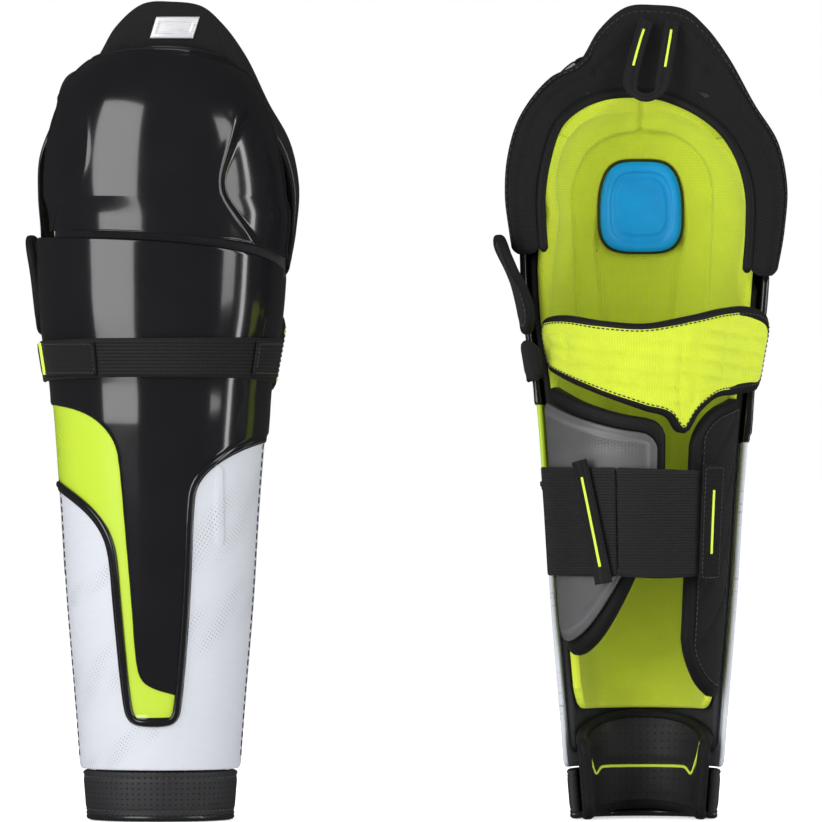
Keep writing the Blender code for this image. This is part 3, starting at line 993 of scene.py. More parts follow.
class Look(Enum):
    """The finishes of the pair."""

    SHELL = ShellPrint("shell_print", (0.0075, 0.0075, 0.0085))
    GLOSS = GlossPlastic("gloss_black", (0.0075, 0.0075, 0.0085))
    EDGE = GlossPlastic("satin_black_edge", (0.010, 0.010, 0.011), 0.34)
    PAD = Knit("black_knit", (0.0062, 0.0062, 0.0066), 1.5, 0.00026, 0.03, 1.9, 0.8)
    TEXTILE = Knit("charcoal_textile", (0.011, 0.011, 0.012), 1.0, 0.00016, 0.03, 1.6, 0.6)
    BINDING = Knit("black_binding", (0.0050, 0.0050, 0.0054), 0.9, 0.00012, 0.02, 1.6, 0.6)
    LIME = Knit("lime_knit", (0.56, 0.67, 0.038), 1.4, 0.00022, 0.10, 1.08, 0.88)
    STRAP = Webbing("black_webbing_strap", (0.0055, 0.0055, 0.0058))
    ELASTIC = Webbing("black_elastic", (0.0075, 0.0075, 0.0079), 1.7, 1.3, 0.8, 0.6)
    LABEL = Webbing("label_weave", (0.0050, 0.0050, 0.0054), 1.0, 0.7, 0.0, 0.5)
    HOOK = Foam("hook_tape", (0.012, 0.012, 0.013))
    LIME_THREAD = Thread("lime_thread", (0.55, 0.72, 0.04))
    THREAD = Thread("black_thread", (0.016, 0.016, 0.018), 0.45)
    GREY_THREAD = Thread("grey_thread", (0.024, 0.024, 0.026), 0.5)
    BAND = Perforated("perforated_black", (0.020, 0.020, 0.022), 3.2, 0.74, 0.55)
    INNER = Perforated("smooth_black_lining", (0.012, 0.012, 0.013), 4.5, 0.86, 0.6)
    GEL = Gel("blue_gel_skin", (0.0008, 0.25, 0.62))
    PLATE = PlateFilm("grey_film", (0.075, 0.075, 0.077))
    FOAM = Foam("grey_foam", (0.030, 0.030, 0.033))
    SILVER = BrushedMetal("silver_film", (0.62, 0.62, 0.64))
    FLOOR = Paper("pale_floor", (0.92, 0.92, 0.925))

    def material(self) -> bpy.types.Material:
        """Return the finish's material."""
        return self.value.made()


# ---------------------------------------------------------------- one guard


@dataclass(frozen=True)
class Guard:
    """One guard of the pair, and the way from its own frame to the shared one."""

    side: str
    centre: float
    facing: float
    lobe: float = 1.0

    def body(self, name: str) -> str:
        """Return the name of one of its moving bodies, or the root's."""
        return ROOT if name == ROOT else f"{self.side}_{name}_body"

    def place(self, points: Array) -> Array:
        """Return points in metres in the shared frame: x moves to the centre and f turns to the facing."""
        return np.stack([self.centre + points[..., 0], self.facing * points[..., 1], points[..., 2]], axis=-1) * MM

    def spot(self, x: float, f: float, z: float) -> Tuple[float, float, float]:
        """Return one place in metres in the shared frame."""
        return tuple(float(value) for value in self.place(np.array([x, f, z])))

    def add(self, name: str, solid: Solid, look: Look, body: Optional[str], slot: str = "",
            nodes: Sequence[str] = (), fill: Optional[float] = None) -> bpy.types.Object:
        """Put a solid into the scene.

        Args:
            name: the piece's name, without its side.
            solid: its closed mesh in the guard's own frame.
            look: its finish.
            body: the moving part that it rides on, or None where it rides on none.
            slot: the record's material slot; not used.
            nodes: the CAD nodes that it stands for, without their side.
            fill: how full it is, where it is a padded piece; not used.

        Returns:
            The object.
        """
        mesh = bpy.data.meshes.new(f"{self.side}_{name}")
        mesh.from_pydata(self.place(solid.points).tolist(), [], solid.faces)
        build = bmesh.new()
        build.from_mesh(mesh)
        if build.calc_volume(signed=True) < 0.0:
            bmesh.ops.reverse_faces(build, faces=build.faces[:])
        build.to_mesh(mesh)
        build.free()
        corners = np.empty(len(mesh.loops), np.int32)
        mesh.loops.foreach_get("vertex_index", corners)
        if solid.cloth is not None:
            layer = mesh.uv_layers.new(name="cloth")
            layer.data.foreach_set("uv", solid.cloth[corners].astype(np.float32).ravel())
        for mask, values in solid.masks.items():
            mesh.attributes.new(mask, "FLOAT", "POINT").data.foreach_set("value", values.astype(np.float32).ravel())
        mesh.polygons.foreach_set("use_smooth", np.ones(len(mesh.polygons), bool))
        mesh.update()
        piece = bpy.data.objects.new(mesh.name, mesh)
        bpy.context.scene.collection.objects.link(piece)
        mesh.materials.append(look.material())
        if body is not None:
            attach(piece, self.body(body))
        if nodes:
            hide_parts(*[f"{self.side}_{node}" for node in nodes])
        LOG.info("%s: %d faces, %s", piece.name, len(mesh.polygons), look.value.name)
        return piece


def lip_height(angle: Array) -> Array:
    """Return the height of the shell's top lip, which falls towards the inner side by a cube."""
    return 349.0 - 21.0 * ((np.asarray(angle, float) + 84.0) / 168.0) ** 3


@dataclass
class ShinShell:
    """The hard shell over the shin, with its side panels, inlaid band, raised frame and stitching."""

    guard: Guard
    foot: float = 31.0
    side: float = 84.0
    out: float = 12.0
    thickness: float = 3.0
    frame_left: Tuple[Pair, ...] = ((-100.0, 214.0), (-68.0, 205.0), (-63.0, 201.0), (-45.6, 188.5), (-36.0, 178.5),
                                    (-30.0, 167.0), (-27.6, 153.0), (-26.0, 131.0), (-20.2, 69.0), (-17.0, 60.0),
                                    (-11.0, 57.0))
    frame_right: Tuple[Pair, ...] = ((5.0, 57.0), (10.5, 60.0), (13.2, 68.0), (18.2, 131.0), (20.0, 188.0),
                                     (22.0, 201.0), (30.5, 211.5), (45.6, 221.0), (61.8, 227.0), (70.0, 229.0),
                                     (100.0, 232.0))
    band: Tuple[Pair, ...] = ((-100.0, 256.0), (-66.0, 249.5), (-46.0, 246.0), (-33.0, 238.5), (-24.5, 227.0),
                              (-21.8, 214.0), (-18.2, 169.0), (-15.0, 131.0), (-12.8, 96.0), (-10.0, 84.5),
                              (-3.0, 79.5), (7.0, 76.5), (10.3, 75.5), (9.9, 72.0), (8.8, 63.4), (4.0, 62.6),
                              (-11.0, 62.6), (-15.6, 62.6), (-16.4, 70.0), (-23.0, 131.0), (-25.4, 160.0),
                              (-28.4, 172.5), (-34.8, 184.6), (-46.0, 193.0), (-64.0, 204.5), (-100.0, 212.0))

    def outline(self) -> Array:
        """Return the line round the plain black zone: the whole front above the side panels."""
        lower = rounded(self.frame_left + self.frame_right, 2)
        return np.vstack([lower, [[120.0, 232.0], [120.0, 420.0], [-120.0, 420.0], [-120.0, 214.0]]])

    def build(self) -> None:
        """Make the shell and everything moulded, printed or sewn on it."""
        panel = Panel(LEG, (-self.side, self.side), flat_edge(self.foot), lip_height, self.out, self.thickness,
                      7.0, 1.3, 1.15)
        seen = panel.seen()
        zone = signed(seen, self.outline())
        inlay = signed(seen, rounded(self.band, 2, closed=True))
        tongue = np.minimum(zone - 4.2, -inlay)
        ridge = away(seen, np.array([(34.5, 168.0), (34.0, 210.0)]))
        relief = (1.1 * smooth(zone, -1.0, 1.2) - 0.9 * smooth(inlay, -0.9, 0.5) + 1.1 * smooth(2.4 - ridge, -0.8, 0.8)
                  + 0.9 * smooth(tongue, -0.6, 1.0) * smooth(262.0 - seen[..., 1], 0.0, 26.0))
        slope = seen[..., 1] - 0.75 * seen[..., 0]
        patches = ((150.0, 26.0, 1.0), (96.0, 19.0, 1.0), (112.0, 21.0, -1.0), (170.0, 9.0, -1.0), (60.0, 11.0, -1.0))
        halftone = np.maximum.reduce([smooth(wide - np.abs(slope - middle), 0.0, 0.6 * wide) * (seen[..., 0] * way > 0)
                                      for middle, wide, way in patches])
        masks = {"panel": -zone, "band": inlay, "halftone": halftone}
        self.guard.add("shin_shell", panel.solid(relief, 0.0, masks), Look.SHELL, ROOT, "black_shell", ["shin_cap"])
        self.guard.add("shell_frame", self.frame_bead(), Look.GLOSS, ROOT, "black_shell")
        self.guard.add("shell_lip", self.lip_bead(), Look.GLOSS, ROOT, "black_shell")
        self.guard.add("shell_stitches", self.stitching(), Look.THREAD, ROOT, "black_webbing")

    def on_front(self, line: Array, rise: float, step: float = 1.2) -> Tuple[Array, Array]:
        """Return a line of x and z laid on the shell's front at a rise above its face, and its normals."""
        face = self.out + self.thickness
        line = resampled(line, step)
        reach = hermite(line[:, 1], LEG.heights, LEG.half_widths) + face
        limit = reach * np.sin(np.radians(self.side - 1.0))
        drift = hermite(line[:, 1], LEG.heights, LEG.drifts)
        keep = np.abs(line[:, 0] - drift) < limit
        line = line[keep]
        angle = LEG.angle_at(line[:, 0], line[:, 1], face)
        places = resampled(np.stack([angle * 1.05, line[:, 1]], axis=1), step)
        angle, height = places[:, 0] / 1.05, places[:, 1]
        return LEG.point(angle, height, face + rise), LEG.normal(angle, height, face + rise)

    def frame_bead(self) -> Solid:
        """Return the raised frame, a bevelled bar just inside the side panels' edge."""
        line = rounded(self.frame_left + self.frame_right, 2)
        tangent = np.gradient(resampled(line, 1.2), axis=0)
        tangent /= np.linalg.norm(tangent, axis=1, keepdims=True)
        inward = np.stack([-tangent[:, 1], tangent[:, 0]], axis=1)
        path, normals = self.on_front(resampled(line, 1.2) + 2.0 * inward, 1.1)
        bar = np.array([(-2.1, -1.2), (2.1, -1.2), (2.1, 0.2), (1.3, 1.25), (0.9, 1.4), (-0.9, 1.4), (-1.3, 1.25),
                        (-2.1, 0.2)])
        return swept(path, normals, bar, girth=ends_taper(len(path), 0.01))

    def lip_bead(self) -> Solid:
        """Return the rolled bead under the shell's top lip."""
        angle = np.linspace(-self.side + 2.0, self.side - 2.0, 160)
        height = lip_height(angle) - 2.2
        face = self.out + self.thickness - 0.4
        return swept(LEG.point(angle, height, face), LEG.normal(angle, height, face), oval(3.4, 2.2, 12),
                     girth=ends_taper(160, 0.03))

    def stitching(self) -> Solid:
        """Return the stitches up both side edges, and the short rows on the upper band."""
        face = self.out + self.thickness + 0.15
        rows = []
        for angle, low, high in ((-77.5, 38.0, 205.0), (77.5, 38.0, 224.0),
                                 (-79.0, 292.0, 344.0), (79.0, 292.0, 325.0)):
            height = np.linspace(low, high, 120)
            turn = np.full(height.shape, angle)
            rows.append(dashes(LEG.point(turn, height, face), LEG.normal(turn, height, face), 5.4, 3.9, 1.5, 0.5))
        for low, high in ((-76.0, -48.0), (40.0, 72.0)):
            turn = np.linspace(low, high, 60)
            height = lip_height(turn) - 9.0
            rows.append(dashes(LEG.point(turn, height, face), LEG.normal(turn, height, face), 4.2, 2.6, 0.8, 0.35))
        return joined(rows)


@dataclass
class ShinCore:
    """The foam between the shell and the lining."""

    guard: Guard

    def build(self) -> None:
        """Make the foam with softly rounded edges."""
        panel = Panel(LEG, (-78.0, 78.0), flat_edge(40.0), lambda angle: lip_height(angle) - 9.0,
                      7.0, 4.0, 8.0, 2.2, 4.0)
        self.guard.add("shin_foam_core", panel.solid(), Look.FOAM, ROOT, "dark_foam", ["shin_foam"], 1.0)


@dataclass
class LegLining:
    """The padded lime lining: one piece from above the ankle to the top of the knee, and its seams."""

    guard: Guard
    thickness: float = 5.5
    foot: float = 66.0
    head: float = 373.0 + 60.0 * 0.90

    def side(self, height: Array) -> Array:
        """Return the lining's half angle: 86 beside the shin, and 101 round the knee."""
        return 86.0 + 15.0 * smooth(height, 320.0, 372.0)

    def build(self) -> None:
        """Make the lining over the whole leg, quilted on its inner face."""
        tall = self.head - self.foot
        share = spread(tall, 3.0, 2.2) / tall
        across = spread(200.0, 3.4, 2.0) / 200.0 * 2.0 - 1.0
        height = np.broadcast_to((self.foot + tall * share)[:, None], (len(share), len(across)))
        cut = 12.0 * smooth(np.abs(across), 0.75, 1.0) ** 2
        height = height + (cut * smooth(height, 90.0, 66.0) - 34.0 * across ** 4
                           * smooth(height, 395.0, self.head))
        angle = self.side(height) * across * (1.0 - 0.28 * (across > 0.0) * smooth(height, 372.0, 398.0))
        rim = np.minimum((1.0 - np.abs(across))[None, :] * 95.0, np.minimum(share, 1.0 - share)[:, None] * tall)
        rim = np.maximum(rim, 0.0)
        weight = bevel(rim, 3.0)
        seen = LINING.point(angle, height, 0.0)[..., [0, 2]]
        inner = self.quilting(seen, rim)
        front = LINING.point(angle, height, self.thickness / 2 + self.thickness / 2 * weight)
        back = LINING.point(angle, height, self.thickness / 2 - (self.thickness / 2 + inner) * weight)
        cloth = np.stack([angle, height], axis=-1)
        piece = self.guard.add("leg_lining", pillow(front, back, cloth), Look.LIME, None, "lime_fabric",
                               ["shin_liner", "knee_liner"], 0.8)
        self.guard.body("knee")
        self.guard.spot(6.0, 10.0, 335.0)
        self.guard.spot(6.0, 10.0, 358.0)
        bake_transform(piece)

    def quilting(self, seen: Array, rim: Array) -> Array:
        """Return how far the inner face swells: rolls round the knee, with the sewn channels cut into them."""
        arch = rounded([(-37.0, 296.0), (-43.0, 371.0), (-40.0, 388.0), (-30.0, 405.0), (-12.0, 412.0), (6.0, 413.0),
                        (22.0, 410.0), (36.0, 397.0), (42.0, 380.0), (37.0, 296.0)], 2)
        inside = signed(seen, arch)
        above = smooth(seen[..., 1], 290.0, 345.0)
        swell = above * (4.2 * smooth(-inside, -1.5, 6.0) * smooth(rim, 0.0, 9.0) - 1.2 * smooth(inside, -2.0, 8.0))
        lines = [np.array(arch), np.array([(-26.0, 348.0), (-22.0, 292.0), (-15.0, 150.0)]),
                 np.array([(23.0, 348.0), (18.0, 292.0), (14.0, 150.0)]), np.array([(-1.0, 413.0), (-1.0, 436.0)])]
        cuts = sum(groove(away(seen, line), 1.7) for line in lines)
        return swell - 2.4 * np.minimum(cuts, 1.0) * smooth(rim, 0.0, 2.0)


@dataclass
class KneeCup:
    """The hard cup over the knee with its sunken side facets and raised top rim, and the foam behind it."""

    guard: Guard
    side: float = 70.0
    per_degree: float = 1.3
    tall: float = 125.0
    top: float = 0.85
    clear: float = 3.4
    half_thick: float = 1.8
    lateral: Tuple[Pair, ...] = ((-120.0, 437.0), (-60.0, 431.0), (-49.0, 428.0), (-45.5, 420.0), (-46.0, 388.0),
                                 (-58.0, 370.0), (-63.0, 360.0), (-65.0, 335.0), (-120.0, 335.0))
    medial: Tuple[Pair, ...] = ((120.0, 440.0), (75.0, 436.0), (60.0, 431.0), (52.0, 424.0), (47.0, 412.0),
                                (42.0, 396.0), (38.0, 384.0), (39.0, 373.0), (50.0, 358.0), (66.0, 336.0),
                                (120.0, 336.0))

    def build(self) -> None:
        """Make the cup, the bead along its top and the foam."""
        width = 2 * self.side * self.per_degree
        across = spread(width, 1.4, 1.25) / width * 2.0 - 1.0
        share = spread(self.tall, 1.4, 1.25) / self.tall
        angle = np.broadcast_to(self.side * across, (len(share), len(across)))
        foot = (lip_height(self.side * across) + self.clear - KNEE_SHELL.centre) / KNEE_SHELL.skirt
        head = self.brow(across)
        lift = foot + (head - foot) * share[:, None]
        rim = np.minimum((1.0 - np.abs(across))[None, :] * self.side * self.per_degree,
                         np.minimum(share, 1.0 - share)[:, None] * self.tall)
        rim = np.maximum(rim, 0.0)
        weight = bevel(rim, 1.5)
        seen = KNEE_SHELL.point(angle, lift, 3.0)[..., [0, 2]]
        facets = np.maximum(signed(seen, rounded(self.lateral, 2, True)), signed(seen, rounded(self.medial, 2, True)))
        sunken = smooth(facets, -1.6, 2.4)
        relief = -1.8 * sunken + 0.6 * smooth(3.4 - rim, -0.8, 0.8) + 0.25 * groove(facets + 2.8, 1.6)
        middle = 1.2
        front = KNEE_SHELL.point(angle, lift, middle + (self.half_thick + relief) * weight)
        back = KNEE_SHELL.point(angle, lift, middle - self.half_thick * weight - 1.8 * sunken * weight)
        cloth = np.stack([angle * self.per_degree, lift * 90.0], axis=-1)
        self.guard.add("knee_cup", pillow(front, back, cloth), Look.GLOSS, "knee", "black_shell", ["knee_cap"])
        turn = np.linspace(-self.side + 2.0, self.side - 2.0, 150)
        line = self.brow(turn / self.side) - 0.006
        bead = swept(KNEE_SHELL.point(turn, line, 3.0), KNEE_SHELL.normal(turn, line, 3.0), oval(4.6, 2.6, 12),
                     girth=ends_taper(len(turn), 0.05))
        self.guard.add("knee_cup_rim", bead, Look.EDGE, "knee", "black_shell")
        self.foam()

    def brow(self, across: Array) -> Array:
        """Return the cup's top line, lower towards the sides."""
        return self.top - 0.13 * np.abs(across) ** 2.4

    def foam(self) -> None:
        """Make the foam between the cup and the lining."""
        across = np.linspace(-1.0, 1.0, 61)
        share = np.linspace(0.0, 1.0, 40)
        angle = np.broadcast_to(79.0 * across, (40, 61))
        foot = (lip_height(79.0 * across) - 8.0 - KNEE_INNER.centre) / KNEE_INNER.skirt
        lift = foot + (0.75 - foot) * share[:, None]
        rim = np.minimum((1.0 - np.abs(across))[None, :] * 90.0, np.minimum(share, 1.0 - share)[:, None] * 95.0)
        weight = bevel(rim, 2.4)
        front = KNEE_INNER.point(angle, lift, 9.0 + 2.0 * weight)
        back = KNEE_INNER.point(angle, lift, 9.0 - 2.0 * weight)
        self.guard.add("knee_foam_core", pillow(front, back, front[..., [0, 2]]), Look.FOAM, "knee", "dark_foam",
                       ["knee_foam"], 1.0)


@dataclass
class Hood:
    """The padded collar round the knee and over the thigh: one roll of cloth and foam, with its trims."""

    guard: Guard
    stations: Tuple[Tuple[float, ...], ...] = (
        (-79.0, 339.0, -1.0, -62.0, 339.0, -16.0, -72.0, 339.0, 3.0),
        (-81.0, 353.0, 2.0, -63.3, 353.0, -15.0, -71.0, 353.0, 18.0),
        (-83.5, 374.0, 3.0, -64.0, 374.0, -15.0, -72.0, 374.0, 21.0),
        (-82.0, 398.0, 3.0, -61.0, 395.0, -12.0, -71.0, 396.0, 22.0),
        (-73.5, 424.0, 5.0, -53.0, 418.0, -4.0, -61.0, 418.0, 24.0),
        (-56.0, 445.5, 9.0, -39.0, 430.5, 5.0, -48.0, 436.0, 27.0),
        (-38.0, 456.0, 15.0, -27.0, 435.5, 12.0, -33.0, 445.0, 28.0),
        (-27.0, 474.0, 20.0, -17.5, 437.3, 15.5, -22.0, 449.0, 26.0),
        (-12.0, 487.5, 22.5, -7.0, 438.0, 18.0, -10.0, 451.0, 28.0),
        (8.0, 489.6, 24.0, 8.0, 437.0, 19.0, 6.0, 452.0, 28.0),
        (25.0, 487.0, 22.5, 19.0, 433.8, 17.0, 20.0, 451.0, 26.5),
        (37.5, 476.5, 20.0, 31.0, 428.3, 12.0, 33.0, 447.0, 23.5),
        (50.5, 459.0, 15.0, 43.5, 419.5, 4.0, 46.0, 437.0, 23.5),
        (67.0, 429.0, 8.0, 55.0, 405.5, -6.0, 61.0, 417.0, 23.5),
        (80.5, 407.0, 5.0, 61.5, 391.0, -11.0, 73.0, 399.0, 23.5),
        (86.0, 382.0, 3.0, 65.0, 374.0, -14.0, 79.0, 379.0, 21.0),
        (84.5, 354.0, 1.0, 64.8, 352.0, -16.0, 79.0, 353.0, 18.0),
        (79.5, 326.0, -2.0, 62.5, 326.0, -17.0, 76.0, 326.0, 3.0),
    )
    count: int = 230
    girth: int = 64

    def tracks(self) -> Tuple[Array, Array, Array]:
        """Return the rim's, the inner ring's and the front's lines along the collar."""
        table = np.array(self.stations)
        folded = (1.0 - self.guard.lobe) * smooth(-table[:, 0], 55.0, 78.0)
        table[:, 0] += 11.0 * folded
        table[:, 0] -= 3.0 * (1.0 - self.guard.lobe) * smooth(table[:, 0], 55.0, 78.0)
        table[:, 2] -= 5.0 * folded
        middle = table.reshape(-1, 3, 3).mean(axis=1)
        spans = lengths_along(middle)
        at = hermite(np.linspace(0.0, spans[-1], self.count), spans, table).reshape(-1, 3, 3)[:, :, [0, 2, 1]]
        return at[:, 0], at[:, 1], at[:, 2]

    def rings(self) -> Array:
        """Carry the cross-section along the collar.

        Six places round it, the ring, the back's swell, the rim, the front's swell, the tuck under the cup
        and the hidden inside, are joined by a closed cubic Hermite.

        Returns:
            The points, rings by places round each.
        """
        rim, ring, tuck = self.tracks()
        inside = 0.5 * (ring + tuck) + 0.12 * (rim - 0.5 * (ring + tuck))
        chord = rim - ring
        run = np.gradient(0.5 * (rim + ring), axis=0)
        backward = unit(np.cross(run, chord))
        backward *= np.sign(np.sum(backward * (ring - tuck), axis=1, keepdims=True))
        swell_back = 0.68 * rim + 0.32 * ring + 3.4 * backward
        swell_front = 0.68 * rim + 0.32 * tuck - 2.6 * backward
        knots = np.stack([ring + 1.2 * backward, swell_back, rim, swell_front, tuck, inside], axis=0)
        wrapped = np.concatenate([knots[-2:], knots, knots[:3]], axis=0)
        where = np.linspace(0.0, 6.0, self.girth, endpoint=False)
        places = hermite(where, np.arange(-2.0, 9.0), wrapped.reshape(11, -1))
        return places.reshape(self.girth, self.count, 3).transpose(1, 0, 2)

    def creased(self, rings: Array) -> Array:
        """Press the seams in: one round the back inside the rim, and two over the front from the top.

        Args:
            rings: the collar's plain points.

        Returns:
            The points pushed towards the middle of their ring by up to 1.6 mm in a seam.
        """
        where = np.linspace(0.0, 6.0, self.girth, endpoint=False)[None, :]
        centre = rings.mean(axis=1, keepdims=True)
        inward = centre - rings
        inward /= np.maximum(np.linalg.norm(inward, axis=2, keepdims=True), 1e-6)
        round_back = groove(where - 1.45, 0.12) * 2.4 + groove(where - 0.75, 0.1) * 1.4
        seen = rings[..., [0, 2]]
        front = smooth(where, 2.1, 2.6) * smooth(where, 4.6, 4.1)
        cuts = groove(away(seen, np.array([(-3.0, 490.0), (-19.0, 466.0), (-25.0, 452.0)])), 1.5)
        cuts = cuts + groove(away(seen, np.array([(30.0, 488.0), (38.5, 462.0), (41.0, 446.0)])), 1.5)
        back = smooth(where, 0.4, 0.7) * smooth(where, 2.0, 1.6)
        ribs = groove(away(seen, np.array([(-34.0, 462.0), (-26.0, 440.0)])), 1.4)
        ribs = ribs + groove(away(seen, np.array([(45.0, 470.0), (33.0, 436.0)])), 1.4)
        depth = round_back + 1.6 * np.minimum(cuts, 1.0) * front + 1.3 * np.minimum(ribs, 1.0) * back
        return rings + inward * depth[..., None]

    def build(self) -> None:
        """Make the collar, the piping of its ring and rim, and the stitches beside its back seam."""
        rings = self.creased(self.rings())
        shrink = ends_taper(self.count, 0.025)[:, None, None]
        centre = rings.mean(axis=1, keepdims=True)
        rings = centre + (rings - centre) * np.clip(shrink + 0.1, 0.0, 1.0)
        around = lengths_along(rings[self.count // 2])
        piece = self.guard.add("knee_hood", tube(rings, False, around), Look.PAD, None, "black_fabric",
                               ["knee_wing_medial", "knee_wing_lateral", "thigh_pad", "thigh_lining"], 0.6)
        self.bend(piece)
        self.ring_piping()
        self.trims(rings)

    def bend(self, piece: bpy.types.Object) -> None:
        """Bake a piece's transform into its mesh."""
        self.guard.body("knee")
        self.guard.body("thigh")
        self.guard.spot(6.0, 10.0, 434.0)
        self.guard.spot(6.0, 10.0, 452.0)
        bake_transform(piece)

    def ring_piping(self) -> None:
        """Make the round piping between the collar and the lining."""
        _, ring, _ = self.tracks()
        inward = unit(np.array([6.0, -10.0, 385.0]) - ring)
        path = resampled(ring + inward * 2.2 + np.array([0.0, -1.0, 0.0]), 2.0)
        normals = np.tile(np.array([0.0, -1.0, 0.0]), (len(path), 1))
        girth = ends_taper(len(path), 0.01)
        piece = self.guard.add("knee_ring", swept(path, normals, oval(5.6, 5.0, 12), girth=girth), Look.BINDING, None,
                               "black_fabric", ["knee_piping"])
        self.bend(piece)

    def trims(self, rings: Array) -> None:
        """Make the stitches beside the back seam and the edge piping round the rim's front."""
        rings = rings[4:-4]
        centre = rings.mean(axis=1)
        path = rings[:, int(round(self.girth * 1.62 / 6.0))]
        stitches = dashes(path, unit(path - centre), 4.0, 2.6, 0.7, 0.35)
        self.bend(self.guard.add("hood_stitches", stitches, Look.THREAD, None, "black_webbing"))
        path = rings[:, int(round(self.girth * 3.6 / 6.0))]
        roll = swept(path, unit(path - centre), oval(3.4, 3.0, 10), girth=ends_taper(len(path), 0.02))
        self.bend(self.guard.add("hood_piping", roll, Look.EDGE, None, "black_fabric"))


@dataclass
class ThighTrim:
    """The plain raised plate on the front of the thigh pad."""

    guard: Guard

    def build(self) -> None:
        """Make a plain slanted plate with a sunken middle, which follows the pad's front."""
        across = spread(30.0, 1.2, 0.8)[None, :] / 30.0
        share = spread(13.0, 1.2, 0.8)[:, None] / 13.0
        x = -6.0 + 26.0 * across + 4.0 * share
        z = 467.5 + 13.0 * share + 0.0 * across
        depth = hermite(z, (450.0, 470.0, 480.0, 489.0), (28.9, 28.8, 27.9, 25.4)) - 0.008 * (x - 8.0) ** 2
        edge = np.minimum(np.minimum(across, 1 - across) * 26.0, np.minimum(share, 1 - share) * 13.0)
        weight = bevel(edge, 1.1) - 0.45 * smooth(edge, 2.6, 3.4)
        front = np.stack([x, depth + 1.3 * weight, z], axis=-1)
        back = np.stack([x, depth - 0.9 * np.minimum(weight, 1.0), z], axis=-1)
        self.guard.add("hood_badge", pillow(front, back, front[..., [0, 2]]), Look.SILVER, "thigh", "silver_badge",
                       ["thigh_badge"])


@dataclass
class GelInsert:
    """The blue gel pad in the hollow of the knee, with its inset frame and the dark rim behind it."""

    guard: Guard
    middle: Pair = (-1.0, 368.5)
    half: Pair = (25.0, 27.5)

    def disc(self, scale: float, base: float, rise: Callable[[Array], Array]) -> Solid:
        """Return a closed rounded-square pad on the lining's inner face.

        Rings of |x/a|^n + |z/b|^n = 1 shrink to the middle; the face towards the leg rises by a function
        of the ring's share, and the back lies on the base.

        Args:
            scale: of the outline.
            base: distance out from the knee's inner surface of the pad's back.
            rise: the face's height above the back at each share.

        Returns:
            The solid.
        """
        share = np.concatenate([[1.0, 0.993, 0.975, 0.945, 0.9], np.linspace(0.86, 0.03, 34)])
        ring = oval(2.0, 2.0, 96, 3.6)
        pinch = 1.0 - 0.10 * smooth(ring[:, 1], 0.0, 1.0) + 0.02 * smooth(-ring[:, 1], 0.0, 1.0)
        x = self.middle[0] + share[:, None] * ring[:, 0] * pinch * self.half[0] * scale
        z = self.middle[1] + share[:, None] * ring[:, 1] * self.half[1] * scale
        angle, lift = KNEE_INNER.seen(x, z, base)
        tall = np.broadcast_to(rise(share)[:, None], x.shape)
        face = KNEE_INNER.point(angle, lift, base - tall)
        back = KNEE_INNER.point(angle, lift, base)
        rings = np.concatenate([back[::-1][:-1], face], axis=0)
        return tube(rings, False)

    def build(self) -> None:
        """Make the gel and its rim."""
        def frame_profile(share: Array) -> Array:
            edge = 3.4 * bevel(1.0 - share, 0.10)
            return edge - 0.9 * smooth(0.80 - share, 0.0, 0.03) + 0.7 * smooth(0.66 - share, 0.0, 0.05)

        self.guard.add("gel_pad", self.disc(1.0, -0.6, frame_profile), Look.GEL, "knee", "blue_gel", ["knee_gel"])
        rim = self.disc(1.05, 0.4, lambda share: 1.9 * bevel(1.0 - share, 0.05))
        self.guard.add("gel_rim", rim, Look.EDGE, "knee", "blue_gel")


